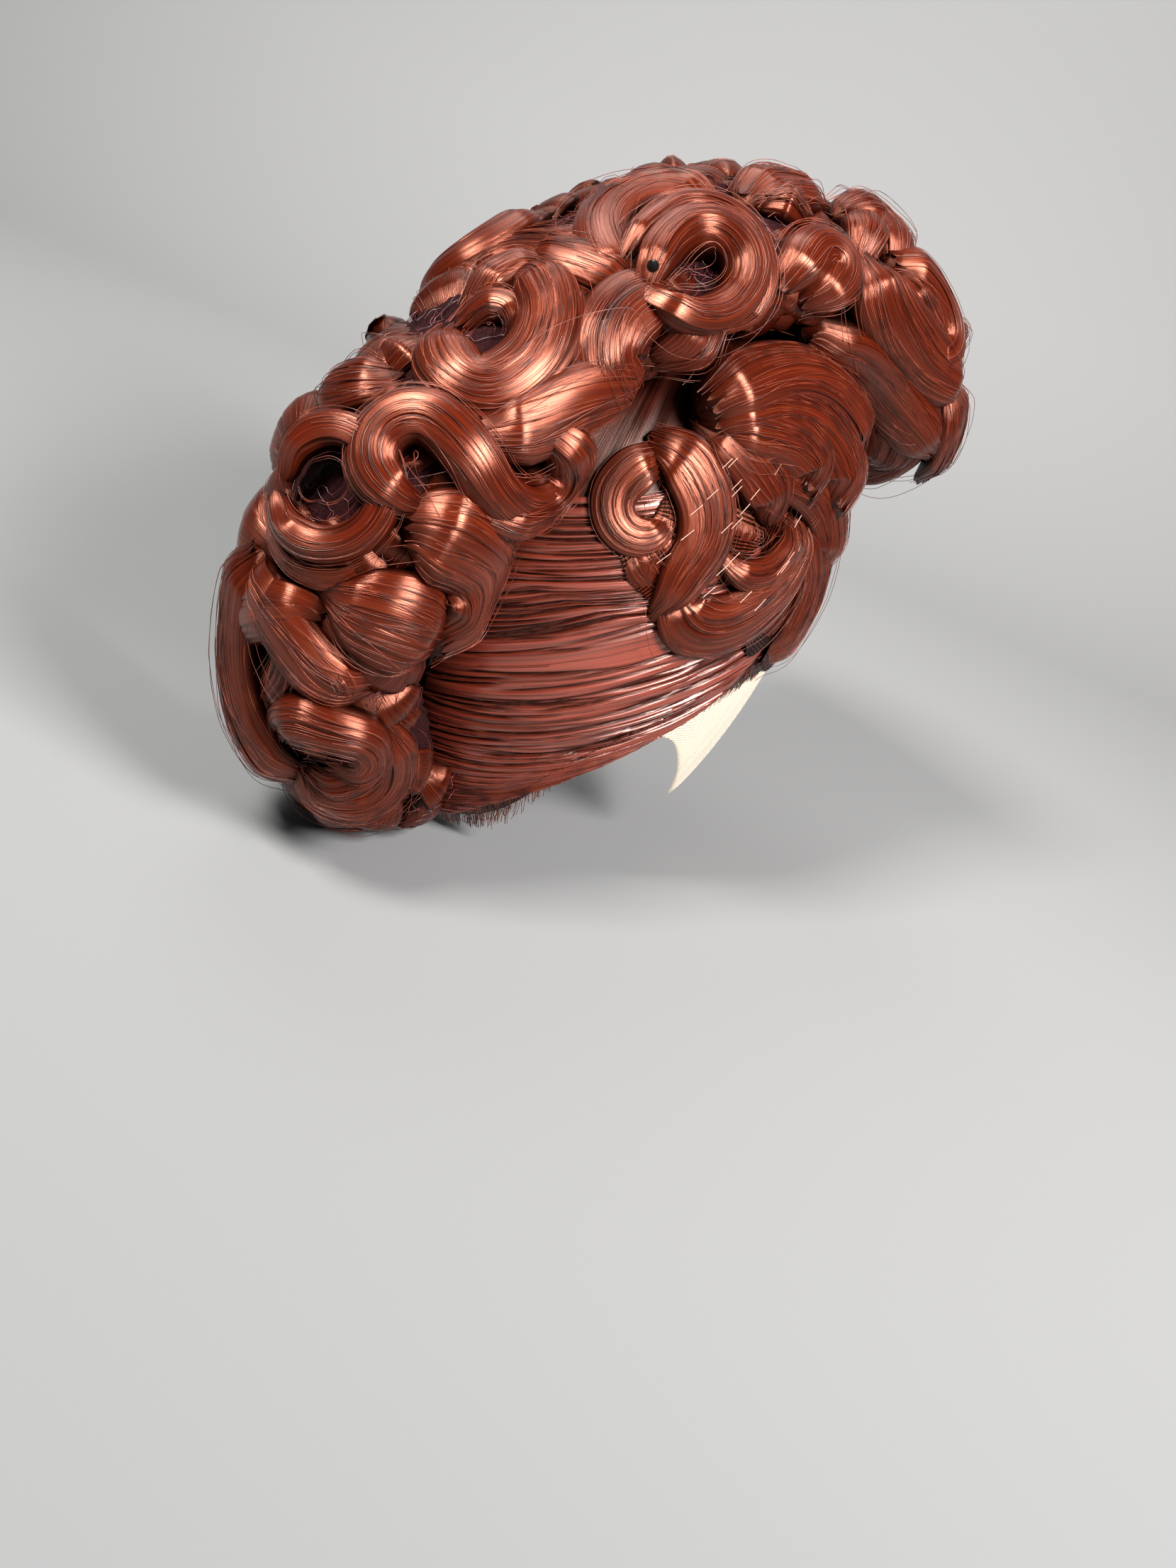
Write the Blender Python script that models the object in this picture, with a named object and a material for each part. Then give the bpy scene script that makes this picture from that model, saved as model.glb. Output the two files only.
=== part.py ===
# Updo wig: a hollow cap, combed side panels, a padded crest over the head in the median plane,
# and the ring curls, rolls and waves that are pinned to them.
# Metres, +Z up, the face towards -Y. The origin is the inside apex of the cap.
import math

import bmesh
import bpy
import numpy as np

# The head that the cap fits, measured from its centre.
HEAD_HALF_WIDTH = 0.076
HEAD_HALF_LENGTH = 0.096
HEAD_ABOVE = 0.095
HEAD_BELOW = 0.160

CLEARANCE = 0.0003
LOCK_GAP = 0.0005
PANEL_GAP = 0.0008
LACE_GAP = 0.0010
CAP_WALL = 0.0014
PANEL_WALL = 0.0035
PANEL_RIB = 0.0007
LACE_WALL = 0.0010

# The crest: distance of its core line from the head's centre, its depth and its half width.
CREST_RADIUS = 0.140
CREST_DEPTH = 0.038
CREST_HALF_WIDTH = 0.041
PADDING_INSET = 0.0080

# Units of the lock tables: run of a curl, width of a lock and height over the crest's outline.
CURL_UNIT = 0.010
LOCK_WIDTH = 0.014
LOCK_LIFT = 0.010
SEAT_DEPTH = 0.0012
WAVE_SEAT = 0.0007
END_ROUND = 0.0022
END_SCALE = 0.62
PATH_STEP = 0.0015
RING_STEP = 5
JOIN_DISTANCES = (0.0001, 0.00004, 0.00001)
LIKELY_LEFT = 0.5

PIN_HEAD_RADIUS = 0.0021
PIN_SHAFT_RADIUS = 0.0008
PIN_LENGTH = 0.016
PIN_PLACE = (52.5, 38)
PIN_LIFT = 0.6

# Grids of the shells and the padding: cells, and bearings or angles where they begin and end.
CAP_COLUMNS = 20
SHELL_ROWS = 7
PANEL_COLUMNS = 16
RIB_TURNS = 9
RIB_LEAN = 5
LACE_BEARINGS = (66, 294)
LACE_COLUMNS = 24
LACE_ROWS = 2
PADDING_ANGLES = (-52, 149.6)
PADDING_STATIONS = 17
PADDING_SIDES = 16
PADDING_END_SCALES = (0.45, 0.82)
SEAT_LOW = -62

HEAD_CENTRE = np.array([0.0, 0.0, -HEAD_ABOVE])
PANEL_OUTER = CAP_WALL + PANEL_GAP + PANEL_WALL

# Crest sections: angle over the head from the back, then shares of the three crest sizes.
CREST_SECTIONS = (
    # angle, core, depth, half width
    (-60, 0.86, 0.37, 0.60),
    (-48, 0.94, 0.84, 0.88),
    (-32, 1.00, 1.00, 0.93),
    (-10, 1.01, 0.95, 0.98),
    (10, 0.965, 1.00, 1.00),
    (30, 0.886, 0.82, 1.02),
    (50, 0.829, 0.74, 1.10),
    (70, 0.821, 0.76, 1.22),
    (90, 0.843, 0.87, 1.41),
    (110, 0.871, 1.00, 1.71),
    (130, 0.829, 1.02, 2.00),
    (150, 0.786, 0.79, 1.95),
)

# Edges by bearing round the head, from the nape (0) over the ear (about 90) to the brow (180).
EDGES = (
    # bearing, hairline elevation, lace elevation
    (0, -43, -43),
    (25, -41, -41),
    (38, -36, -36),
    (49, -27, -27),
    (59, -21, -21),
    (70, -16, -18),
    (80, -12, -19),
    (92, -8, -26),
    (104, -6, -34),
    (114, -3, -29),
    (124, 1, -11),
    (140, 11, 3),
    (160, 18, 10),
    (180, 20, 12),
)

# Each row is one section of a lock, laid along the crest or the head. Rows with one name are fused.
# Runs are (length, turn) pairs: length in curl units, turn in degrees, anticlockwise seen from
# outside. Width and belly are in lock widths, lifts in lock lifts, all others in degrees.
# Later rows lie over earlier ones.
LOCKS = (
    # name, base, at, heading, runs, widths, belly, lifts
    ("curl_nape_hollow", "crest", (-9, -6), 10, ((2.1, -110), (3.0, -35)), (0.4, 0.5), 0, (-0.3, -0.4)),
    ("curl_left_low", "crest", (23, -5), -110, ((1.6, -45), (1.6, 0), (1.0, 60)), (1.0, 1.1), 0, (0, 0)),
    ("curl_left_mid", "crest", (29, -21), -70, ((2.7, -45),), (0.8, 0.8), 0, (-0.2, -0.2)),
    ("curl_left_high", "crest", (33, -45), 110, ((2.0, -20), (1.2, -40)), (1.1, 1.0), 0, (-0.3, -0.3)),
    ("curl_nape_long", "crest", (-3, -27), -125, ((1.6, 30), (3.5, 20), (5.0, 40)), (1.5, 1.2), 0, (0.4, 0.3)),
    ("curl_nape_low", "crest", (-36, 10), -40, ((1.2, 40), (2.0, 20), (2.0, 40)), (0.8, 0.8), 0, (0, 0)),
    ("curl_nape_outer", "crest", (-20, 75), -50, ((1.8, -30), (3.5, -100), (2.6, -50)), (0.8, 0.8), 0, (0.1, 0.1)),
    ("curl_nape_middle", "crest", (-19, 69), -55, ((3.0, -95), (2.2, -40)), (0.6, 0.6), 0, (0.2, 0.2)),
    ("curl_nape_rosette", "crest", (-22.5, 17), 105, ((2.1, -110), (2.0, -15), (2.4, -160), (0.8, 0)),
     (1.2, 0.6), 0, (0.5, 0.4)),
    ("curl_nape_diagonal", "crest", (-6, -28), 15, ((1.5, -40), (3.0, -10), (2.7, 40)), (0.7, 0.9), 0.3, (0.2, 0)),
    ("curl_nape_diagonal", "crest", (-11, 34), -9, ((0.8, -10), (1.3, -150)), (0.6, 0.5), 0, (0.3, 0.3)),
    ("curl_back_smooth", "crest", (-3, 21), 3, ((2.0, -5), (3.6, -20)), (0.6, 1.5), 0.5, (0, 0.5)),
    ("curl_back_wide", "crest", (7.5, 50), 35, ((1.0, -25), (2.5, -20), (1.7, -55), (2.6, -80)),
     (1.9, 1.4), 0, (0.5, 0.9)),
    ("curl_back_side", "crest", (26, 72), 28, ((2.2, -30), (1.2, -65), (1.2, -60), (2.8, -25)),
     (0.9, 0.8), 0, (1.0, 1.0)),
    ("curl_back_ess", "crest", (10.5, 52), 195, ((1.8, -30), (4.1, -165), (2.4, -20), (2.4, 40), (3.0, 90)),
     (1.0, 0.9), 0.2, (0.5, 0.9)),
    ("curl_back_rise", "crest", (21, 49), 45, ((2.6, 20), (3.0, -15), (1.2, 10)), (0.9, 0.9), 0, (0.6, 0.6)),
    ("curl_back_top", "crest", (38, -35), 115, ((1.5, -45), (1.2, -45), (3.4, -25)), (0.8, 0.8), 0, (-0.2, -0.2)),
    ("curl_back_top", "crest", (46, -22), 18, ((3.0, 0), (2.2, -15)), (0.8, 0.9), 0, (-0.1, -0.1)),
    ("curl_crown_side", "crest", (42, 112), -125, ((2.5, -50), (1.6, -65), (3.4, -70)), (0.9, 0.9), 0, (0.3, 0.3)),
    ("curl_back_slip", "crest", (45, 12), -15, ((2.5, -35), (3.0, -45)), (0.5, 0.5), 0.1, (0.1, 0.1)),
    ("curl_back_swirl", "crest", (34, -12), 100, ((2.4, -30), (1.5, -30)), (1.0, 0.9), 0, (0, 0)),
    ("curl_back_swirl", "crest", (31, -3), 90, ((1.4, -40), (2.2, -150)), (0.9, 0.6), 0, (0.1, -0.1)),
    ("curl_back_swirl", "crest", (43, -5), 5, ((3.0, -50), (3.3, -60), (1.5, -75), (2.6, -65)),
     (1.5, 1.4), 0, (0.4, 0.3)),
    ("curl_crown_left", "crest", (67, 6), 165, ((1.6, 40), (2.4, 140), (1.3, 40)), (0.7, 0.7), 0, (-0.2, -0.2)),
    ("curl_crown_left", "crest", (51, 37), 180, ((1.5, -20), (3.4, -45), (2.6, -50), (2.4, -105)),
     (0.9, 0.9), 0, (0, 0)),
    ("curl_crown_drop", "crest", (61, 76), -55, ((2.6, -10),), (0.9, 0.8), 0, (0.5, 0.3)),
    ("curl_crown_ring", "crest", (52, 24), 115, ((3.3, -20), (2.6, -90), (3.0, -40), (2.4, -50)),
     (0.9, 0.9), 0, (0.5, 0.5)),
    ("curl_crown_ring", "crest", (50, 45), 140, ((3.3, -40), (2.4, -95), (2.6, -75), (2.4, -60), (1.8, -40)),
     (1.0, 0.8), 0.2, (0.9, 0.9)),
    ("curl_top_low", "crest", (82, 15), 48, ((2.4, -10),), (0.9, 0.9), 0, (0.3, 0.3)),
    ("curl_top_high", "crest", (80, 14), 105, ((2.1, -20), (2.8, -15)), (1.1, 1.1), 0, (0.2, 0.1)),
    ("curl_top_end", "crest", (102, 26), -45, ((3.6, 20),), (1.0, 0.9), 0, (0.4, 0.3)),
    ("curl_top_end", "crest", (96, 25), 95, ((2.0, -20), (1.0, -90), (2.2, 0)), (1.1, 1.1), 0, (0.5, 0.5)),
    ("curl_front_far_low", "crest", (124, 69), 50, ((2.0, 30), (3.6, -20), (1.6, -20)), (1.3, 1.2), 0, (0.3, 0.3)),
    ("curl_front_far", "crest", (114, 55), 75, ((2.8, -20),), (1.6, 1.4), 0, (0.6, 0.5)),
    ("curl_front_ring", "crest", (103, 52), 0, ((2.0, 50), (3.8, 20)), (0.8, 0.8), 0, (0.3, 0.3)),
    ("curl_front_ring", "crest", (100, 51), 100, ((2.2, -40), (2.2, -30), (1.4, -70), (1.8, -60)),
     (0.9, 0.9), 0, (0.6, 0.6)),
    ("curl_front_low", "head", (44, 47), -5, ((4.5, -20), (1.4, -60)), (1.2, 1.2), 0, (1.6, 1.6)),
    ("curl_front_inner", "head", (41, 52), 30, ((3.5, -20), (2.0, -40), (1.4, -90)), (1.3, 1.2), 0, (2.2, 2.2)),
    ("curl_front_main", "head", (41, 50), 50, ((4.5, -30), (4.0, -50), (2.0, -70)), (1.6, 1.4), 0, (2.4, 2.4)),
    ("curl_front_upper", "head", (42, 48), 55, ((4.2, -20), (2.8, -20), (3.7, -35)), (1.3, 1.3), 0, (2.8, 2.8)),
    ("curl_front_end", "crest", (113, 120), 80, ((3.0, -30), (2.5, -60)), (1.3, 1.2), 0, (0.4, 0.4)),
    ("curl_front_arc", "crest", (84, 116), 85, ((3.7, -15), (2.3, 10), (4.0, -5)), (0.9, 1.0), 0.2, (0.8, 0.8)),
    ("curl_top_loop", "crest", (73.5, 72), 140, ((2.5, -30), (1.4, -90), (1.0, -80), (2.0, 0)),
     (0.8, 0.8), 0, (0.5, 0.5)),
    ("curl_front_long", "crest", (94, 53), -25, ((1.2, 40), (1.8, 35), (7.0, 28)), (1.3, 1.2), 0.3, (0.6, 0.6)),
    ("wave_right_hook", "head", (34, 46), -150, ((1.0, 60), (0.8, 0), (1.4, -90), (1.2, -50)),
     (0.8, 0.8), 0, (1.0, 1.0)),
    ("wave_right_arch", "head", (28, 38), 60, ((1.8, -45), (2.6, -60), (2.6, -60), (3.6, 15)),
     (0.8, 0.9), 0.3, (1.1, 1.0)),
    ("wave_right_arch", "head", (29, 56), -65, ((2.2, -50), (2.8, 15)), (0.7, 0.6), 0.2, (1.2, 1.2)),
    ("wave_right_fan", "head", (7, 58), -85, ((1.6, 60), (2.8, 50), (3.4, 50), (2.0, 20)),
     (0.9, 0.7), 1.1, (1.0, 1.1)),
    ("wave_right_front", "head", (30, 100), -60, ((2.0, -40), (4.5, -10)), (1.6, 1.6), 0.4, (1.5, 1.3)),
)

# Flat rings that lean away from the crest. Radii are in curl units; face is the turn of the ring's
# plane round the crest's section; hug is how far the ring bends with the crest.
RINGS = (
    # name, at, face, radii, start, sweep, widths, belly, lifts, hug
    ("curl_back_ring", (7, 10), 15, (2.4, 2.4), -15, -145, (0.5, 0.5), 0.4, (-0.4, -0.4), 0.6),
    ("curl_back_ring", (8, 10), 22, (1.45, 1.7), 205, -350, (0.8, 1.1), 0, (0.3, 0.5), 0.25),
)

# Rows that are repeated, mirrored, on the side that is out of sight.
LEFT_LOCKS = (
    "curl_nape_outer", "curl_back_smooth", "curl_back_wide", "curl_back_side", "curl_crown_side",
    "curl_front_main", "curl_front_low", "curl_front_arc",
    "wave_right_arch", "wave_right_fan", "wave_right_front",
)
TUBE_SIDES = 6
TURN_STEP = 50
RUN_STEP = 0.026

MATERIALS = {
    # name: colour, roughness
    "hair_auburn": ((0.16, 0.028, 0.012, 1.0), 0.35),
    "padding_net": ((0.035, 0.008, 0.010, 1.0), 0.85),
    "cap_lace": ((0.62, 0.53, 0.40, 1.0), 0.80),
    "pin_black": ((0.01, 0.01, 0.01, 1.0), 0.20),
}


def curve_value(rows, column, at):
    """Smooth value of a table's column between its rows."""
    keys = [row[0] for row in rows]
    last = len(rows) - 1
    i = 0
    while i < last - 1 and at > keys[i + 1]:
        i += 1
    span = keys[i + 1] - keys[i]
    t = (at - keys[i]) / span
    low, high = rows[i][column], rows[i + 1][column]
    before, after = max(i - 1, 0), min(i + 2, last)
    slope_low = (high - rows[before][column]) / (keys[i + 1] - keys[before]) * span
    slope_high = (rows[after][column] - low) / (keys[after] - keys[i]) * span
    return (
        (2 * t**3 - 3 * t**2 + 1) * low
        + (t**3 - 2 * t**2 + t) * slope_low
        + (3 * t**2 - 2 * t**3) * high
        + (t**3 - t**2) * slope_high
    )


def unit(vector):
    return vector / np.linalg.norm(vector)


class Crest:
    """Outline of the crest: u is the angle over the head, v the angle round the section."""

    seat = PADDING_INSET + SEAT_DEPTH

    @staticmethod
    def section(u):
        return (
            curve_value(CREST_SECTIONS, 1, u) * CREST_RADIUS,
            curve_value(CREST_SECTIONS, 2, u) * CREST_DEPTH,
            curve_value(CREST_SECTIONS, 3, u) * CREST_HALF_WIDTH,
        )

    @staticmethod
    def point(u, v, lift=0.0):
        core, depth, half = Crest.section(u)
        over, round_ = math.radians(u), math.radians(v)
        ray = np.array([0.0, math.cos(over), math.sin(over)])
        side = np.array([-(half + lift) * math.sin(round_), 0.0, 0.0])
        return HEAD_CENTRE + ray * (core + (depth + lift) * math.cos(round_)) + side

    @staticmethod
    def angles(point, lift):
        offset = point - HEAD_CENTRE
        u = math.degrees(math.atan2(offset[2], offset[1]))
        if u < -90:
            u += 360
        core, depth, half = Crest.section(u)
        out = (math.hypot(offset[1], offset[2]) - core) / (depth + lift)
        return u, math.degrees(math.atan2(-offset[0] / (half + lift), out))


class Head:
    """Outline of the head: u is the elevation, v the bearing from the nape round the right ear."""

    seat = WAVE_SEAT - PANEL_OUTER

    @staticmethod
    def point(u, v, lift=0.0):
        up, round_ = math.radians(u), math.radians(v)
        height = HEAD_ABOVE if u > 0 else HEAD_BELOW
        return HEAD_CENTRE + np.array([
            -(HEAD_HALF_WIDTH + lift) * math.cos(up) * math.sin(round_),
            (HEAD_HALF_LENGTH + lift) * math.cos(up) * math.cos(round_),
            (height + lift) * math.sin(up),
        ])

    @staticmethod
    def angles(point, lift):
        offset = point - HEAD_CENTRE
        height = HEAD_ABOVE if offset[2] > 0 else HEAD_BELOW
        sizes = np.array([HEAD_HALF_WIDTH, HEAD_HALF_LENGTH, height]) + lift
        share = unit(offset / sizes)
        return math.degrees(math.asin(share[2])), math.degrees(math.atan2(-share[0], share[1]))


BASES = {"crest": Crest, "head": Head}


def surface_frame(base, u, v):
    """Side, up and outward directions of a base at an angle pair."""
    up = unit(base.point(u + 1, v) - base.point(u - 1, v))
    side = base.point(u, v + 1) - base.point(u, v - 1)
    out = unit(np.cross(side, up))
    if out @ (base.point(u, v, 0.001) - base.point(u, v)) < 0:
        out = -out
    return unit(np.cross(up, out)), up, out


def lock_path(base, at, heading, runs, lifts):
    """Outer face line of a lock that is steered over a base: points and outward directions."""
    total = sum(run[0] for run in runs) * CURL_UNIT
    u, v = at
    lift = lifts[0] * LOCK_LIFT
    point = base.point(u, v, lift)
    side, up, out = surface_frame(base, u, v)
    turn = math.radians(heading)
    along = side * math.cos(turn) + up * math.sin(turn)
    path = [(point, out)]
    done = 0.0
    for length, bend in runs:
        steps = max(2, round(length * CURL_UNIT / PATH_STEP))
        step = length * CURL_UNIT / steps
        angle = math.radians(bend) / steps
        for _ in range(steps):
            along = unit(along * math.cos(angle) + np.cross(out, along) * math.sin(angle))
            done += step
            lift = (lifts[0] + (lifts[1] - lifts[0]) * done / total) * LOCK_LIFT
            u, v = base.angles(point + along * step, lift)
            point = base.point(u, v, lift)
            out = surface_frame(base, u, v)[2]
            along = unit(along - out * (along @ out))
            path.append((point, out))
    return path


def ring_path(at, face, radii, start, sweep, lifts, hug):
    """Outer face line of a flat ring on the crest: points and outward directions."""
    side, up, out = surface_frame(Crest, at[0], at[1] + face)
    centre = Crest.point(*at)
    steps = round(abs(sweep) / RING_STEP)
    path = []
    for i in range(steps + 1):
        t = i / steps
        angle = math.radians(start + sweep * t)
        radius = (radii[0] + (radii[1] - radii[0]) * t) * CURL_UNIT
        lift = (lifts[0] + (lifts[1] - lifts[0]) * t) * LOCK_LIFT
        flat = centre + (side * math.cos(angle) + up * math.sin(angle)) * radius
        u, v = Crest.angles(flat, 0.0)
        bent = Crest.point(u, v, lift)
        facing = unit(surface_frame(Crest, u, v)[2] * hug + out * (1 - hug))
        path.append((bent * hug + (flat + out * lift) * (1 - hug), facing))
    return path


def thin_path(path, turn_step, run_step):
    """Stations of a path, one at each turn step or run step, as (share, point, outward, along)."""
    last = len(path) - 1
    tangents = []
    for i in range(last + 1):
        tangents.append(unit(path[min(i + 1, last)][0] - path[max(i - 1, 0)][0]))
    kept = [0]
    turned = gone = 0.0
    for i in range(1, last):
        turned += math.acos(max(-1.0, min(1.0, float(tangents[i] @ tangents[i - 1]))))
        gone += float(np.linalg.norm(path[i][0] - path[i - 1][0]))
        if turned >= turn_step or gone >= run_step:
            kept.append(i)
            turned = gone = 0.0
    kept.append(last)
    return [(i / last, path[i][0], path[i][1], tangents[i]) for i in kept]


def mesh_object(name, vertices, faces):
    mesh = bpy.data.meshes.new(name)
    mesh.from_pydata([tuple(float(c) for c in vertex) for vertex in vertices], [], faces)
    shape = bpy.data.objects.new(name, mesh)
    shape.hide_render = True
    shape.display_type = "WIRE"
    SCRATCH.objects.link(shape)
    return shape


def tube(name, stations, widths, belly, depths, grow=0.0):
    """A lock as a closed tube of rounded section whose outer face follows the stations."""
    vertices = []
    sides = TUBE_SIDES
    corner = 1 / math.cos(math.pi / sides)
    rows = []
    for share, point, out, along in stations:
        half = ((widths[0] + (widths[1] - widths[0]) * share) + belly * math.sin(math.pi * share)) / 2
        rows.append((point, out, along, half * LOCK_WIDTH, depths[0] + (depths[1] - depths[0]) * share, 1.0))
    first, last = rows[0], rows[-1]
    rows.insert(0, (first[0] - first[2] * END_ROUND, *first[1:5], END_SCALE))
    rows.append((last[0] + last[2] * END_ROUND, *last[1:5], END_SCALE))
    for k, (point, out, along, half, depth, scale) in enumerate(rows):
        side = unit(np.cross(out, along))
        shift = -grow if k == 0 else grow if k == len(rows) - 1 else 0.0
        centre = point - out * depth / 2 + along * shift
        wide = half * scale + grow * corner
        deep = (depth / 2 * (0.5 + scale / 2) + grow) * corner
        for i in range(sides):
            angle = 2 * math.pi * i / sides
            vertices.append(centre + side * wide * math.cos(angle) + out * deep * math.sin(angle))
    faces = []
    for k in range(len(rows) - 1):
        for i in range(sides):
            j = (i + 1) % sides
            near_i, near_j = k * sides + i, k * sides + j
            faces.append((near_i, near_j, near_j + sides))
            faces.append((near_i, near_j + sides, near_i + sides))
    faces.append(tuple(range(sides - 1, -1, -1)))
    faces.append(tuple(range((len(rows) - 1) * sides, len(rows) * sides)))
    shape = mesh_object(name, vertices, faces)
    face_out(shape)
    return shape


def face_out(shape):
    """Turn a closed mesh's faces outwards."""
    work = bmesh.new()
    work.from_mesh(shape.data)
    bmesh.ops.recalc_face_normals(work, faces=work.faces)
    if work.calc_volume(signed=True) < 0:
        bmesh.ops.reverse_faces(work, faces=work.faces)
    work.to_mesh(shape.data)
    work.free()


def closed_volume(mesh):
    """Volume of a mesh whose every edge joins two faces and whose points don't pinch, or -1."""
    work = bmesh.new()
    work.from_mesh(mesh)
    closed = all(edge.is_manifold for edge in work.edges) and all(point.is_manifold for point in work.verts)
    volume = abs(work.calc_volume(signed=True)) if closed else -1.0
    work.free()
    return volume


def boolean(shape, other, operation):
    """Apply one boolean of two closed meshes to the first of them."""
    before, taken = closed_volume(shape.data), closed_volume(other.data)
    likely = max(before, taken) * 0.98 if operation == "UNION" else before * LIKELY_LEFT
    most = before + taken if operation == "UNION" else before
    modifier = shape.modifiers.new("cut", "BOOLEAN")
    modifier.operation = operation
    modifier.object = other
    best, best_volume = None, -1.0
    for solver, crossing in (("EXACT", True), ("EXACT", False), ("MANIFOLD", False)):
        modifier.solver = solver
        modifier.use_self = crossing
        depsgraph = bpy.context.evaluated_depsgraph_get()
        depsgraph.update()
        result = bpy.data.meshes.new_from_object(shape.evaluated_get(depsgraph))
        volume = closed_volume(result)
        if best_volume < volume <= most * 1.01:
            best, best_volume = result, volume
        if best_volume >= likely:
            break
    shape.modifiers.clear()
    if best is not None:
        shape.data = best


def split_bodies(work):
    """Groups of linked points of a bmesh."""
    loose = set(work.verts)
    bodies = []
    while loose:
        front = [loose.pop()]
        body = list(front)
        while front:
            vertex = front.pop()
            for edge in vertex.link_edges:
                other = edge.other_vert(vertex)
                if other in loose:
                    loose.remove(other)
                    body.append(other)
                    front.append(other)
        bodies.append(body)
    return bodies


def body_volume(body):
    """Volume enclosed by a group of linked points."""
    volume = 0.0
    for face in {face for vertex in body for face in vertex.link_faces}:
        corners = [vertex.co for vertex in face.verts]
        for k in range(1, len(corners) - 1):
            volume += corners[0].dot(corners[k].cross(corners[k + 1])) / 6
    return abs(volume)


def keep_largest(shape):
    """Leave only the largest body of a mesh, and join its nearly equal points."""
    work = bmesh.new()
    work.from_mesh(shape.data)
    bodies = sorted(split_bodies(work), key=body_volume)
    spare = [vertex for body in bodies[:-1] for vertex in body]
    bmesh.ops.delete(work, geom=spare, context="VERTS")
    work.to_mesh(shape.data)
    work.free()
    kept = closed_volume(shape.data)
    for distance in JOIN_DISTANCES:
        work = bmesh.new()
        work.from_mesh(shape.data)
        bmesh.ops.remove_doubles(work, verts=work.verts, dist=distance)
        bmesh.ops.dissolve_degenerate(work, edges=work.edges, dist=distance)
        joined = bpy.data.meshes.new(shape.name)
        work.to_mesh(joined)
        work.free()
        if abs(closed_volume(joined) - kept) < kept * 0.01:
            shape.data = joined
            break


def bounds(shape):
    places = np.array([vertex.co for vertex in shape.data.vertices])
    return places.min(axis=0), places.max(axis=0)


def near(one, other):
    low_one, high_one = bounds(one)
    low_other, high_other = bounds(other)
    return bool(np.all(low_one <= high_other) and np.all(low_other <= high_one))


def cut_clear(shape, cutters):
    """Cut each cutter that is near out of a shape."""
    for cutter in cutters:
        if near(shape, cutter):
            boolean(shape, cutter, "DIFFERENCE")
    keep_largest(shape)
    face_out(shape)


def mirrored(shape, name):
    """A copy of a shape on the other side of the median plane."""
    copy = mesh_object(name, [(-vertex.co.x, vertex.co.y, vertex.co.z) for vertex in shape.data.vertices],
                       [tuple(face.vertices) for face in shape.data.polygons])
    face_out(copy)
    return copy


def shell(name, inner, outer):
    """A closed wall between two grids of points with equal rows and columns."""
    rows, columns = len(inner), len(inner[0])
    vertices = [point for row in inner for point in row] + [point for row in outer for point in row]
    half = rows * columns
    faces = []
    for r in range(rows - 1):
        for c in range(columns - 1):
            a, b = r * columns + c, r * columns + c + 1
            d, e = a + columns, b + columns
            faces.append((a, b, e, d))
            faces.append((half + a, half + d, half + e))
            faces.append((half + a, half + e, half + b))
    edge = [r * columns for r in range(rows)]
    edge += [(rows - 1) * columns + c for c in range(1, columns)]
    edge += [r * columns + columns - 1 for r in range(rows - 2, -1, -1)]
    edge += [c for c in range(columns - 2, 0, -1)]
    for k, a in enumerate(edge):
        b = edge[(k + 1) % len(edge)]
        faces.append((a, b, half + b, half + a))
    shape = mesh_object(name, vertices, faces)
    merge_points(shape)
    face_out(shape)
    return shape


def merge_points(shape):
    work = bmesh.new()
    work.from_mesh(shape.data)
    bmesh.ops.remove_doubles(work, verts=work.verts, dist=0.00001)
    bmesh.ops.dissolve_degenerate(work, edges=work.edges, dist=0.00001)
    work.to_mesh(shape.data)
    work.free()


def edge_elevation(column, bearing):
    """Elevation of an edge of the cap at a bearing on either side of the head."""
    return curve_value(EDGES, column, abs((bearing + 180) % 360 - 180))


def dome(lift, bearings):
    """Grid of points from the apex down to the hairline."""
    grid = []
    for r in range(SHELL_ROWS + 1):
        line = []
        for bearing in bearings:
            elevation = 90 + (edge_elevation(1, bearing) - 90) * r / SHELL_ROWS
            line.append(Head.point(elevation, bearing, lift))
        grid.append(line)
    return grid


def make_cap():
    """Thin hollow dome from the crown to the hairline."""
    columns = CAP_COLUMNS
    bearings = [360 * k / columns for k in range(columns)]
    inner = dome(0.0, bearings)
    outer = dome(CAP_WALL, bearings)
    vertices = []
    faces = []
    for grid in (inner, outer):
        start = len(vertices)
        vertices.append(grid[0][0])
        for row in grid[1:]:
            vertices.extend(row)
        for c in range(columns):
            d = (c + 1) % columns
            faces.append((start, start + 1 + c, start + 1 + d))
            for r in range(len(grid) - 2):
                a = start + 1 + r * columns
                faces.append((a + c, a + columns + c, a + columns + d, a + d))
    half = len(vertices) // 2
    rim = half - columns
    for c in range(columns):
        d = (c + 1) % columns
        faces.append((rim + c, rim + d, half + rim + d, half + rim + c))
    cap = mesh_object("cap", vertices, faces)
    face_out(cap)
    return cap


def panel_bearings():
    """Bearings of the right panel's columns, short of the median plane by the clearance."""
    gap = math.degrees(CLEARANCE / HEAD_HALF_WIDTH)
    return [gap + (180 - 2 * gap) * k / PANEL_COLUMNS for k in range(PANEL_COLUMNS + 1)]


def make_panel():
    """Combed hair of the right side, a shell on the cap from the median plane to the hairline."""
    bearings = panel_bearings()
    base = CAP_WALL + PANEL_GAP
    inner = panel_grid(base, bearings, 0.0)
    outer = panel_grid(base + PANEL_WALL, bearings, PANEL_RIB)
    return shell("side_panel_right", inner, outer)


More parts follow.
